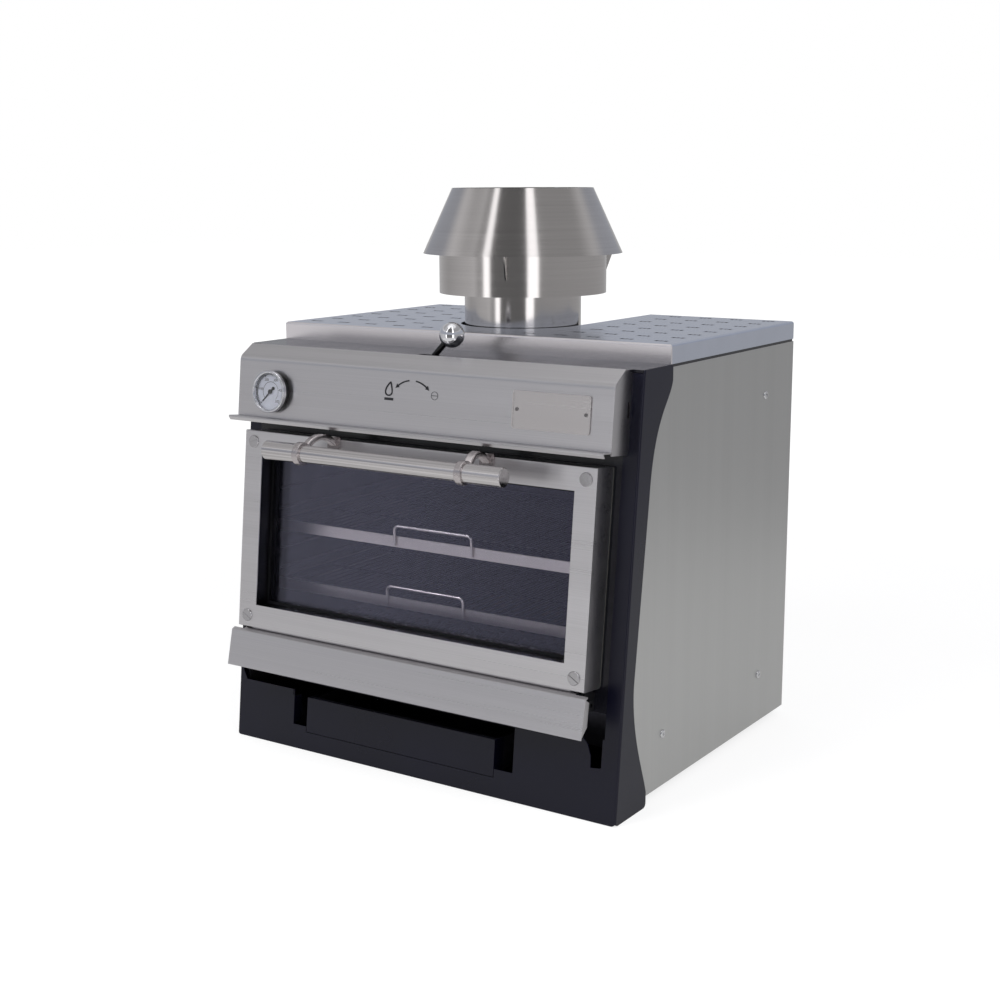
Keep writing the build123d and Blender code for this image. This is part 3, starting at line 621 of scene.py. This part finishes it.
@dataclass(frozen=True)
class RopeSeal(Finish):
    """Woven heat rope, dark from the fire."""

    tone: Colour = (0.06, 0.058, 0.055)
    swing: Pair = (0.6, 1.7)
    strands: float = 260.0

    def paint(self, board: Board, surface: Node) -> None:
        """Lay slanting strands along the rope.

        Args:
            board: the node board.
            surface: the shader.
        """
        place = board.add("ShaderNodeTexCoord").outputs["Object"]
        weave = board.add("ShaderNodeTexWave", Vector=place, Scale=self.strands, Distortion=1.5)
        weave.wave_type = "BANDS"
        weave.bands_direction = "DIAGONAL"
        waves = weave.outputs["Fac"]
        board.feed(
            surface,
            Base_Color=board.vary(waves, self.tone, self.swing),
            Roughness=0.9,
            Normal=board.bump(waves, strength=0.7, distance=0.0006),
        )


@dataclass(frozen=True)
class Pane(Finish):
    """Heat-proof glass, clear or darkened."""

    tone: Colour = (0.9, 0.9, 0.92)
    mirror: Colour = (1.0, 1.0, 1.0)
    swing: Pair = (0.97, 1.0)
    wipe: Triple = (6.0, 30.0, 12.0)
    haze: float = 0.02
    refraction: float = 1.45

    def paint(self, board: Board, surface: Node) -> None:
        """Make clear glass with a trace of wipe marks.

        Args:
            board: the node board.
            surface: the shader.
        """
        wipe = board.noise(self.wipe, detail=3.0, roughness=0.6)
        board.feed(
            surface,
            Base_Color=board.vary(board.spread(wipe), self.tone, self.swing),
            Roughness=board.spread(wipe, self.haze * 0.3, self.haze),
            Transmission_Weight=1.0,
            IOR=self.refraction,
            Specular_Tint=(*self.mirror, 1.0),
        )


@dataclass(frozen=True)
class Enamel(Finish):
    """A smooth printed or enamelled surface."""

    tone: Colour = (0.8, 0.8, 0.82)
    swing: Pair = (0.94, 1.0)
    drift: Triple = (40.0, 40.0, 40.0)
    gloss: float = 0.35
    gloss_drift: float = 0.12

    def paint(self, board: Board, surface: Node) -> None:
        """Vary the enamel a little.

        Args:
            board: the node board.
            surface: the shader.
        """
        drift = board.noise(self.drift)
        board.feed(
            surface,
            Base_Color=board.vary(board.spread(drift), self.tone, self.swing),
            Roughness=board.spread(drift, self.gloss, self.gloss + self.gloss_drift),
        )


# The oven's finishes. A number that isn't given here is that of the finish's kind.
FINISHES: Sequence[Finish] = (
    BrushedSteel("front_steel", tone=(0.61, 0.595, 0.605)),
    FramedSteel("door_steel", tone=(0.63, 0.615, 0.625), contrast=0.06),
    BrushedSteel(
        "side_steel", tone=(0.56, 0.56, 0.55), grain=Grain.ALONG_Z,
        smooth=0.33, rough=0.39, contrast=0.03,
    ),
    PunchedSteel("cover_steel", tone=(0.66, 0.70, 0.80), smooth=0.20, rough=0.27, contrast=0.03),
    BrushedSteel(
        "flue_steel", tone=(0.60, 0.575, 0.56), grain=Grain.ROUND_FLUE,
        smooth=0.10, rough=0.18, contrast=0.07,
    ),
    BrushedSteel(
        "tube_steel", tone=(0.66, 0.635, 0.63), smooth=0.10, rough=0.24, fine=420.0, contrast=0.24
    ),
    BrushedSteel(
        "plate_steel", tone=(0.65, 0.62, 0.61), smooth=0.24, rough=0.28, fine=500.0, contrast=0.01
    ),
    # Painted highlight: the bright warm tone makes the rack's front bar read lit through the door
    # glass.
    RackSteel("rack_steel", tone=(1.0, 0.90, 0.84), smooth=0.3, rough=0.4),
    BrushedSteel(
        "cast_bracket_steel", tone=(0.55, 0.51, 0.51), grain=Grain.NONE, smooth=0.18, rough=0.3
    ),
    PolishedSteel("screw_steel"),
    PolishedSteel("slotted_steel", tone=(0.50, 0.49, 0.50), smooth=0.14, rough=0.26),
    PolishedSteel("rivet_steel", tone=(0.22, 0.21, 0.21), smooth=0.2, rough=0.35),
    PolishedSteel("ball_chrome", tone=(0.82, 0.82, 0.84), smooth=0.01, rough=0.05),
    PolishedSteel("bezel_steel", tone=(0.70, 0.70, 0.73), smooth=0.10, rough=0.22),
    StovePaint("frame_black"),
    StovePaint("plate_black", tone=(0.006, 0.006, 0.009), smooth=0.18, rough=0.28, sheen=0.5),
    StovePaint("hinge_black", tone=(0.004, 0.004, 0.005), smooth=0.35, rough=0.5),
    StovePaint("lever_black", tone=(0.003, 0.003, 0.0035), smooth=0.2, rough=0.3),
    WarmedSteel("liner_steel"),
    CastIron("grate_iron"),
    MineralWool("ceramic_wool"),
    RopeSeal("seal_rope"),
    Pane("door_glass", tone=(0.86, 0.86, 0.91), mirror=(0.74, 0.74, 1.0)),
    Pane("gauge_glass", tone=(0.97, 0.97, 0.98)),
    Enamel("dial_white", tone=(0.70, 0.72, 0.80)),
    Enamel("etched_grey", tone=(0.10, 0.10, 0.105)),
    Enamel("ink_black", tone=(0.010, 0.010, 0.012)),
)


class Finishes:
    """All finishes of the oven, each made once."""

    def __init__(self) -> None:
        """Make the materials."""
        self.materials = {kind.name: kind.build() for kind in FINISHES}

    def dress(self, thing: Thing, finish: str) -> None:
        """Give one object a single finish.

        Args:
            thing: the object.
            finish: the finish's name.
        """
        thing.data.materials.clear()
        thing.data.materials.append(self.materials[finish])


class Bench:
    """Shapes small pieces in edit mode and puts them in place."""

    weld: float = 1e-7
    edge_weld: float = 1e-6
    arc_step: float = 6.0
    fewest_steps: int = 3

    @staticmethod
    def clear() -> None:
        """Leave nothing selected."""
        if bpy.context.object and bpy.context.object.mode != "OBJECT":
            bpy.ops.object.mode_set(mode="OBJECT")
        bpy.ops.object.select_all(action="DESELECT")

    @staticmethod
    def begin(thing: Thing) -> None:
        """Enter edit mode on one object with everything in it selected."""
        Bench.clear()
        bpy.context.view_layer.objects.active = thing
        thing.select_set(True)
        bpy.ops.object.mode_set(mode="EDIT")
        bpy.ops.mesh.select_all(action="SELECT")

    @staticmethod
    def end() -> Thing:
        """Leave edit mode.

        Returns:
            The object that was edited.
        """
        bpy.ops.object.mode_set(mode="OBJECT")
        return bpy.context.object

    @staticmethod
    def raise_flat(thing: Thing, height: float) -> Thing:
        """Give a flat drawing its thickness and close its back.

        Args:
            thing: a flat mesh facing up.
            height: how far its face rises.

        Returns:
            The same object, now a closed solid.
        """
        Bench.clear()
        bpy.context.view_layer.objects.active = thing
        thing.select_set(True)
        wall = thing.modifiers.new("thickness", "SOLIDIFY")
        wall.thickness = height
        wall.offset = 1.0
        bpy.ops.object.modifier_apply(modifier=wall.name)
        Bench.begin(thing)
        bpy.ops.mesh.remove_doubles(threshold=Bench.weld)
        bpy.ops.mesh.normals_make_consistent(inside=False)
        return Bench.end()

    @staticmethod
    def face_up(thing: Thing) -> Thing:
        """Turn a flat mesh over if it faces down.

        Args:
            thing: the mesh, out of edit mode.

        Returns:
            The same object, facing up.
        """
        if thing.data.polygons and thing.data.polygons[0].normal.z < 0:
            Bench.begin(thing)
            bpy.ops.mesh.flip_normals()
            thing = Bench.end()
        return thing

    @staticmethod
    def outline(points: Sequence[Pair], name: str) -> Thing:
        """Make a flat face from a circle whose rim is moved to the given points.

        Args:
            points: the rim, counter-clockwise.
            name: the object's name.

        Returns:
            The flat object.
        """
        Bench.clear()
        bpy.ops.mesh.primitive_circle_add(vertices=len(points), radius=0.01, fill_type="NGON")
        thing = bpy.context.object
        thing.name = name
        for vertex, (x, y) in zip(thing.data.vertices, points):
            vertex.co = (x, y, 0.0)
        Bench.begin(thing)
        bpy.ops.mesh.normals_make_consistent(inside=False)
        return Bench.face_up(Bench.end())

    @staticmethod
    def bar(left: float, right: float, foot: float, top: float) -> Thing:
        """Make a flat rectangle.

        Args:
            left: its left edge.
            right: its right edge.
            foot: its lower edge.
            top: its upper edge.

        Returns:
            The flat object.
        """
        return Bench.outline([(left, foot), (right, foot), (right, top), (left, top)], "bar")

    @staticmethod
    def band(thing: Thing, width: float) -> Thing:
        """Keep only a band along the rim of a flat face.

        Args:
            thing: a flat object with one face.
            width: the width of the band.

        Returns:
            The same object with its middle taken out.
        """
        Bench.begin(thing)
        bpy.ops.mesh.inset(thickness=width)
        bpy.ops.mesh.delete(type="ONLY_FACE")
        return Bench.end()

    @staticmethod
    def arc_strip(radius: float, width: float, start: float, sweep: float, name: str) -> Thing:
        """Spin a short edge into a flat strip along an arc round the origin.

        Args:
            radius: the arc's radius.
            width: the strip's width.
            start: the angle where it starts, in degrees.
            sweep: the angle it covers, in degrees.
            name: the object's name.

        Returns:
            The flat strip.
        """
        Bench.clear()
        bpy.ops.mesh.primitive_plane_add(size=width)
        thing = bpy.context.object
        thing.name = name
        Bench.begin(thing)
        bpy.ops.mesh.delete(type="ONLY_FACE")
        thing = Bench.end()
        angle = math.radians(start)
        way = Vector((math.cos(angle), math.sin(angle), 0))
        side = [way * (radius - width / 2), way * (radius + width / 2)]
        for vertex in thing.data.vertices:
            vertex.co = side[0] if vertex.index % 2 == 0 else side[1]
        Bench.begin(thing)
        bpy.ops.mesh.remove_doubles(threshold=Bench.edge_weld)
        bpy.ops.mesh.select_all(action="SELECT")
        steps = max(Bench.fewest_steps, int(abs(sweep) / Bench.arc_step))
        sweep = math.radians(sweep)
        bpy.ops.mesh.spin(steps=steps, angle=sweep, center=(0, 0, 0), axis=(0, 0, 1))
        bpy.ops.mesh.select_all(action="SELECT")
        bpy.ops.mesh.remove_doubles(threshold=Bench.weld)
        bpy.ops.mesh.normals_make_consistent(inside=False)
        return Bench.face_up(Bench.end())

    @staticmethod
    def merge(things: Iterable[Thing], name: str) -> Thing:
        """Join several objects into one.

        Args:
            things: the objects.
            name: the joined object's name.

        Returns:
            The joined object.
        """
        things = list(things)
        Bench.clear()
        for thing in things:
            thing.select_set(True)
        bpy.context.view_layer.objects.active = things[0]
        if len(things) > 1:
            bpy.ops.object.join()
        joined = bpy.context.view_layer.objects.active
        joined.name = name
        joined.data.name = name
        return joined

    @staticmethod
    def sign(flats: Iterable[Thing], height: float, name: str) -> Thing:
        """Raise flat drawings to a height and join them.

        Args:
            flats: the drawings.
            height: how far their faces rise.
            name: the sign's name.

        Returns:
            The sign.
        """
        return Bench.merge([Bench.raise_flat(flat, height) for flat in flats], name)

    @staticmethod
    def copy(thing: Thing, matrix: Matrix) -> Thing:
        """Copy an object with its own mesh and move the copy's mesh.

        Args:
            thing: the object to copy.
            matrix: the move.

        Returns:
            The copy.
        """
        twin = thing.copy()
        twin.data = thing.data.copy()
        bpy.context.scene.collection.objects.link(twin)
        twin.data.transform(matrix)
        return twin

    @staticmethod
    def settle(thing: Thing, matrix: Matrix, body: str, slot: str) -> Thing:
        """Put a finished piece in its place and let it ride on a body.

        Args:
            thing: the piece, with its object at the origin.
            matrix: its placement.
            body: the CAD body it moves with.
            slot: the record's material slot it belongs to; not used.

        Returns:
            The piece.
        """
        thing.data.transform(thing.matrix_world)
        thing.matrix_world = Matrix.Identity(4)
        thing.data.transform(matrix)
        if matrix.determinant() < 0:
            thing.data.flip_normals()
        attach(thing, body)
        return thing


def turns(count: int) -> list[float]:
    """Return the angles of evenly spaced points round a full turn."""
    return [2 * math.pi * index / count for index in range(count)]


@dataclass
class GaugeDial:
    """The printed scale of the temperature gauge."""

    finishes: Finishes
    centre: Pair = (-0.262, 0.071)
    face_out: float = 0.05256
    outer: float = 0.0270
    inner_line_inset: float = 0.0120
    line_width: float = 0.0006
    first_angle: float = 225.0
    sweep: float = 270.0
    intervals: int = 5
    ticks_each: int = 10
    long_tick: Pair = (0.0036, 0.0010)
    short_tick: Pair = (0.0021, 0.0005)
    flare: float = 1.2
    top_value: int = 500
    number_size: float = 0.0056
    number_inset: float = 0.0072
    print_height: float = 0.00012

    def angle(self, step: int, steps: int) -> float:
        """Return the angle in radians at a step of the scale."""
        return math.radians(self.first_angle - self.sweep * step / steps)

    def tick(self, length: float, width: float) -> Thing:
        """Make one tick that points along +X and ends at the scale's radius.

        Args:
            length: its length.
            width: its width at the inner end.

        Returns:
            The tick.
        """
        inner, half = self.outer - length, width / 2
        wide = half * self.flare
        rim = [(inner, -half), (self.outer, -wide), (self.outer, wide), (inner, half)]
        return Bench.raise_flat(Bench.outline(rim, "tick"), self.print_height)

    def ticks(self) -> Thing:
        """Copy the ticks round the dial.

        Returns:
            One object with all of them.
        """
        steps = self.intervals * self.ticks_each
        long_tick, short_tick = self.tick(*self.long_tick), self.tick(*self.short_tick)
        marks = []
        for step in range(steps + 1):
            source = short_tick if step % self.ticks_each else long_tick
            marks.append(Bench.copy(source, Matrix.Rotation(self.angle(step, steps), 4, "Z")))
        for source in (long_tick, short_tick):
            bpy.data.objects.remove(source)
        return Bench.merge(marks, "gauge_ticks")

    def rings(self) -> Thing:
        """Draw the two fine lines of the scale.

        Returns:
            One object with both.
        """
        strips = (
            Bench.arc_strip(radius, self.line_width, self.first_angle, self.sweep, "scale_line")
            for radius in (self.outer, self.outer - self.inner_line_inset)
        )
        return Bench.sign(strips, self.print_height, "gauge_scale_lines")

    def numbers(self) -> Thing:
        """Set the numbers of the scale.

        Returns:
            One object with all of them.
        """
        words = []
        radius, half_height = self.outer - self.number_inset, self.print_height / 2
        for step in range(self.intervals + 1):
            angle = self.angle(step, self.intervals)
            Bench.clear()
            bpy.ops.object.text_add()
            word = bpy.context.object
            word.data.body = str(step * self.top_value // self.intervals)
            word.data.size = self.number_size
            word.data.align_x = "CENTER"
            word.data.align_y = "CENTER"
            word.data.extrude = half_height
            word.data.resolution_u = 3
            bpy.ops.object.convert(target="MESH")
            word = bpy.context.object
            spot = Vector((radius * math.cos(angle), radius * math.sin(angle), half_height))
            word.data.transform(Matrix.Translation(spot))
            words.append(word)
        return Bench.merge(words, "gauge_numbers")

    def build(self) -> None:
        """Make the scale and print it on the dial."""
        place = FRONT.place(*self.centre, self.face_out)
        for piece in (self.ticks(), self.rings(), self.numbers()):
            Bench.settle(piece, place, "oven_body", "gauge_face")
            self.finishes.dress(piece, "ink_black")
            log.info("%s: %d faces", piece.name, len(piece.data.polygons))


@dataclass
class PanelMarks:
    """The printed signs beside the damper lever: a flame, two arrows and a closed ring."""

    finishes: Finishes
    face_out: float = 0.04652
    print_height: float = 0.00015
    flame_at: Pair = (-0.041, 0.0525)
    flame_half_width: float = 0.0098
    flame_taper: float = 0.68
    flame_foot: float = -0.0095
    flame_rise: float = 0.0215
    flame_bend: float = 0.0032
    flame_shift: float = 0.001
    flame_line: float = 0.0022
    ring_at: Pair = (0.040, 0.056)
    arc_top: float = 0.037
    arc_radius: float = 0.042
    stem_width: float = 0.0021
    head_rim: tuple[Pair, ...] = ((0.0048, 0.0), (-0.0018, 0.0033), (-0.0018, -0.0033))
    ring_radius: float = 0.0062
    ring_width: float = 0.0009

    def flame(self) -> Thing:
        """Draw a plain flame outline over a bar.

        Returns:
            The sign as one object round its own middle.
        """
        rim = []
        for turn in turns(40):
            height = (1 - math.cos(turn)) / 2
            half = self.flame_half_width * math.sin(turn) * (1 - self.flame_taper * height)
            sway = self.flame_bend * height ** 3 - self.flame_shift
            rim.append((half + sway, self.flame_foot + self.flame_rise * height))
        outline = Bench.band(Bench.outline(rim, "flame_outline"), self.flame_line)
        bar = Bench.bar(left=-0.0082, right=0.0078, foot=-0.0155, top=-0.0117)
        return Bench.sign((outline, bar), self.print_height, "panel_flame_sign")

    def arrow(self, start: float, sweep: float, name: str) -> Thing:
        """Draw one curved arrow on an arc round the lever's shaft.

        Args:
            start: the angle of its tail in degrees.
            sweep: the angle to its head, clockwise positive.
            name: the object's name.

        Returns:
            The arrow round the arc's centre.
        """
        strip = Bench.arc_strip(self.arc_radius, self.stem_width, start, sweep, "arrow_stem")
        end = math.radians(start - sweep)
        turn = -1 if sweep > 0 else 1
        along = end + turn * math.pi / 2
        head = Bench.outline(self.head_rim, "arrow_head")
        reach = (self.arc_radius * math.cos(end), self.arc_radius * math.sin(end), 0)
        head.data.transform(Matrix.Translation(reach) @ Matrix.Rotation(along, 4, "Z"))
        return Bench.sign((strip, head), self.print_height, name)

    def closed_ring(self) -> Thing:
        """Draw a small ring with a bar across, the sign for a shut flue.

        Returns:
            The sign round its own middle.
        """
        radius = self.ring_radius
        rim = [(radius * math.cos(turn), radius * math.sin(turn)) for turn in turns(32)]
        ring = Bench.band(Bench.outline(rim, "ring"), self.ring_width)
        bar = Bench.bar(left=-0.0052, right=0.0052, foot=-0.0006, top=0.0006)
        return Bench.sign((ring, bar), self.print_height, "panel_shut_sign")

    def build(self) -> None:
        """Make the signs and print them on the panel."""
        arc_at = (0.0, self.arc_top + self.arc_radius)
        signs = (
            (self.flame(), self.flame_at, "ink_black"),
            (self.arrow(98.0, -31.0, "panel_arrow_open"), arc_at, "ink_black"),
            (self.arrow(82.0, 31.0, "panel_arrow_shut"), arc_at, "ink_black"),
            (self.closed_ring(), self.ring_at, "etched_grey"),
        )
        for piece, spot, finish in signs:
            place = FRONT.place(*spot, self.face_out)
            Bench.settle(piece, place, "oven_body", "brushed_steel_sheet")
            self.finishes.dress(piece, finish)
            log.info("%s: %d faces", piece.name, len(piece.data.polygons))


# The nodes of the frame that wear each finish.
WEAR: dict[str, tuple[str, ...]] = {
    "front_steel": ("control_panel", "visor_lip", "apron"),
    "door_steel": ("door_shell",),
    "side_steel": ("side_panel_left", "side_panel_right", "rear_panel"),
    "cover_steel": ("top_cover",),
    "flue_steel": ("flue_pipe", "flue_collar", "flue_hat", "hat_gussets", "collar_spacers"),
    "tube_steel": ("handle_tube", "handle_grip_left", "handle_grip_right"),
    "cast_bracket_steel": ("handle_bracket_left", "handle_bracket_right"),
    "plate_steel": ("name_plate",),
    "rack_steel": ("rack_upper", "rack_lower"),
    "slotted_steel": ("door_screws",),
    "screw_steel": ("panel_screws", "damper_shaft", "damper_blade"),
    "rivet_steel": ("name_plate_rivets",),
    "bezel_steel": ("gauge_bezel", "gauge_probe"),
    "ball_chrome": ("damper_knob",),
    # The gauge case wears this black as painted shade for the dark band at the side of the bezel.
    "lever_black": ("damper_lever", "gauge_case"),
    "frame_black": ("cheek_left", "cheek_right", "lower_fascia", "ash_drawer_front"),
    "plate_black": ("top_plate", "chamber_front_frame", "base_pan"),
    "hinge_black": (
        "hinge_arms", "hinge_brackets", "hinge_bolts", "feet",
        "drawer_runners", "damper_bearing", "door_glass_beads",
    ),
    "liner_steel": (
        "chamber_liner", "liner_roof", "ash_hopper",
        "rack_rails", "grate_ledges", "ash_drawer_tray",
    ),
    "grate_iron": ("charcoal_grate",),
    "ceramic_wool": ("insulation", "roof_insulation"),
    "seal_rope": ("door_seal",),
    "door_glass": ("door_glass_outer", "door_glass_inner"),
    "gauge_glass": ("gauge_lens",),
    "dial_white": ("gauge_dial",),
    "ink_black": ("gauge_needle",),
}


@dataclass
class CadDress:
    """Dresses the frame in its finishes."""

    finishes: Finishes

    def build(self) -> None:
        """Dress every node, and stop if one is left bare."""
        bare = set(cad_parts)
        for finish, nodes in WEAR.items():
            for node in nodes:
                self.finishes.dress(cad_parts[node], finish)
                bare.discard(node)
        if bare:
            raise ValueError(f"nodes with no finish: {sorted(bare)}")
        log.info("dressed %d frame nodes", len(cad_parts))


@dataclass
class Studio:
    """Floor, sky, lamps and camera."""

    eye: Triple = (1.3531, -2.03987, 0.8797)
    azimuth: float = math.radians(33.58)
    pitch: float = math.radians(11.48)
    roll: float = math.radians(-0.23)
    lens: float = 56.95
    floor_size: float = 30.0
    floor_tone: float = 0.93
    floor_shadow: float = 0.30
    floor_glow: float = 1.09
    floor_mirror_reach: Pair = (1.5, 2.4)
    floor_mirrored: float = 0.45
    room_strength: float = 2.0
    wall_share: float = 0.5
    horizon: tuple[Pair, ...] = (
        (-180, 0.42), (-150, 0.52), (-135, 0.56), (-127, 0.62), (-120, 0.42), (-113, 0.42),
        (-111.5, 1.9), (-103.5, 1.9), (-102, 0.17), (-52, 0.15), (-50.5, 1.9), (-36.5, 1.9),
        (-35, 0.36), (45, 0.40), (90, 0.42), (124, 0.52), (150, 0.50), (180, 0.42),
    )
    heights: tuple[Pair, ...] = (
        (0.00, 1.0), (0.10, 1.0), (0.20, 0.62), (0.32, 0.62), (0.40, 1.35),
        (0.50, 1.35), (0.58, 0.85), (0.85, 0.95), (0.93, 2.2), (1.00, 2.2),
    )
    calm_tone: Colour = (0.190, 0.199, 0.222)
    calm_heights: tuple[Pair, ...] = (
        (0.00, 0.0), (0.09, 0.0), (0.14, 1.0), (0.40, 1.0), (0.48, 0.0), (1.00, 0.0),
    )
    lamp_size: float = 1.8
    lamp_aim: Triple = (0.0, 0.0, 0.4)
    lamps: tuple[tuple[str, Triple, float], ...] = (
        ("key_lamp", (-1.2, -2.4, 2.4), 60.0),
        ("fill_lamp", (2.4, -0.8, 2.0), 45.0),
    )

    def camera(self) -> None:
        """Set the camera where the photograph was taken from."""
        lens = bpy.data.cameras.new("photo_camera")
        lens.lens = self.lens
        lens.sensor_width = 36.0
        lens.clip_start = 0.05
        lens.clip_end = 50.0
        camera = bpy.data.objects.new("photo_camera", lens)
        bpy.context.scene.collection.objects.link(camera)
        sine, cosine, level = math.sin(self.azimuth), math.cos(self.azimuth), math.cos(self.pitch)
        forward = Vector((-sine * level, cosine * level, -math.sin(self.pitch)))
        right = Vector((cosine, sine, 0))
        up = right.cross(forward)
        turned_right = right * math.cos(self.roll) + up * math.sin(self.roll)
        turned_up = -right * math.sin(self.roll) + up * math.cos(self.roll)
        matrix = Matrix((turned_right, turned_up, -forward)).transposed().to_4x4()
        matrix.translation = Vector(self.eye)
        camera.matrix_world = matrix
        bpy.context.scene.camera = camera

    def sky(self) -> None:
        """Make a white backdrop for the camera and a soft room for the metal."""
        world = bpy.data.worlds.new("studio_sky")
        bpy.context.scene.world = world
        world.use_nodes = True
        board = Board(world.node_tree)
        place = board.add("ShaderNodeTexCoord").outputs["Generated"]
        parts = board.add("ShaderNodeSeparateXYZ", Vector=place).outputs
        angle = board.calc("ARCTAN2", parts["Y"], parts["X"])
        turn = board.spread(angle, start=-math.pi, end=math.pi)
        horizon = [((degrees + 180) / 360, level) for degrees, level in self.horizon]
        heights = [(height, level * self.wall_share) for height, level in self.heights]
        round_room = self.ramp(board, turn, horizon)
        up_wall = self.ramp(board, parts["Z"], heights)
        walls = board.mix(1.0, round_room, up_wall, blend_type="MULTIPLY")
        calm = self.ramp(board, parts["Z"], self.calm_heights)
        tone = board.mix(calm, walls, (*self.calm_tone, 1.0))
        room = board.add("ShaderNodeBackground", Color=tone, Strength=self.room_strength)
        white = board.add("ShaderNodeBackground", Color=(1.0, 1.0, 1.0, 1.0), Strength=1.0)
        seen = board.add("ShaderNodeLightPath").outputs["Is Camera Ray"]
        shown = board.either(seen, room.outputs["Background"], white.outputs["Background"])
        board.add("ShaderNodeOutputWorld", Surface=shown)

    @staticmethod
    def ramp(board: Board, value: Socket, steps: Sequence[Pair]) -> Socket:
        """Turn a value into a grey level by straight lines between given steps.

        Args:
            board: the node board.
            value: the socket with the value, 0 to 1.
            steps: pairs of a value and the level there.

        Returns:
            The socket with the colour.
        """
        cool = 1.01
        node = board.add("ShaderNodeValToRGB")
        stops = node.color_ramp.elements
        stops.remove(stops[-1])
        for index, (place, level) in enumerate(steps):
            stop = stops[0] if index == 0 else stops.new(place)
            stop.position = place
            stop.color = (level, level, level * cool, 1.0)
        board.join(value, node.inputs["Fac"])
        return node.outputs["Color"]

    def floor(self) -> None:
        """Lay the pale floor."""
        Bench.clear()
        bpy.ops.mesh.primitive_plane_add(size=self.floor_size)
        floor = bpy.context.object
        floor.name = "studio_floor"
        material = bpy.data.materials.new("floor_white")
        material.use_nodes = True
        board = Board(material.node_tree)
        rays = board.add("ShaderNodeLightPath").outputs
        place = board.add("ShaderNodeTexCoord")
        distance = board.add("ShaderNodeVectorMath", operation="LENGTH")
        board.join(place.outputs["Object"], distance.inputs[0])
        near, far_off = self.floor_mirror_reach
        far = board.spread(distance.outputs["Value"], start=near, end=far_off)
        bright = board.spread(far, 1.0 - self.floor_shadow, 1.0, start=0.0, end=1.0)
        mirrored = (self.floor_mirrored,) * 3
        tone = board.tint(rays["Is Camera Ray"], mirrored, (1.0, 1.0, 1.0))
        paper = board.add("ShaderNodeBsdfDiffuse", Color=(*(self.floor_tone,) * 3, 1.0))
        glow = board.add("ShaderNodeEmission", Color=tone, Strength=self.floor_glow)
        seen = board.calc("MAXIMUM", rays["Is Camera Ray"], rays["Is Glossy Ray"])
        share = board.product(seen, bright)
        shown = board.either(share, paper.outputs["BSDF"], glow.outputs["Emission"])
        clear = board.add("ShaderNodeBsdfTransparent").outputs["BSDF"]
        fading = board.product(far, rays["Is Glossy Ray"])
        board.add("ShaderNodeOutputMaterial", Surface=board.either(fading, shown, clear))
        floor.data.materials.append(material)

    def lamp(self, name: str, spot: Triple, power: float) -> None:
        """Hang one soft lamp that metal doesn't mirror.

        Args:
            name: the lamp's name.
            spot: where it hangs.
            power: its power in watts.
        """
        light = bpy.data.lights.new(name, "AREA")
        light.shape = "SQUARE"
        light.size = self.lamp_size
        light.energy = power
        lamp = bpy.data.objects.new(name, light)
        bpy.context.scene.collection.objects.link(lamp)
        lamp.location = spot
        direction = Vector(self.lamp_aim) - Vector(spot)
        lamp.rotation_euler = direction.to_track_quat("-Z", "Y").to_euler()
        lamp.visible_glossy = False

    def build(self) -> None:
        """Set up the whole studio."""
        self.camera()
        self.sky()
        self.floor()
        for lamp in self.lamps:
            self.lamp(*lamp)
        bpy.context.scene.view_settings.view_transform = "Standard"
        log.info("studio ready")


def main() -> None:
    """Build the pieces in order and report each."""
    logging.basicConfig(level=logging.INFO, format="%(message)s")
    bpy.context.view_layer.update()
    finishes = Finishes()
    CadDress(finishes).build()
    GaugeDial(finishes).build()
    PanelMarks(finishes).build()
    Studio().build()


if __name__ == "__main__":
    main()
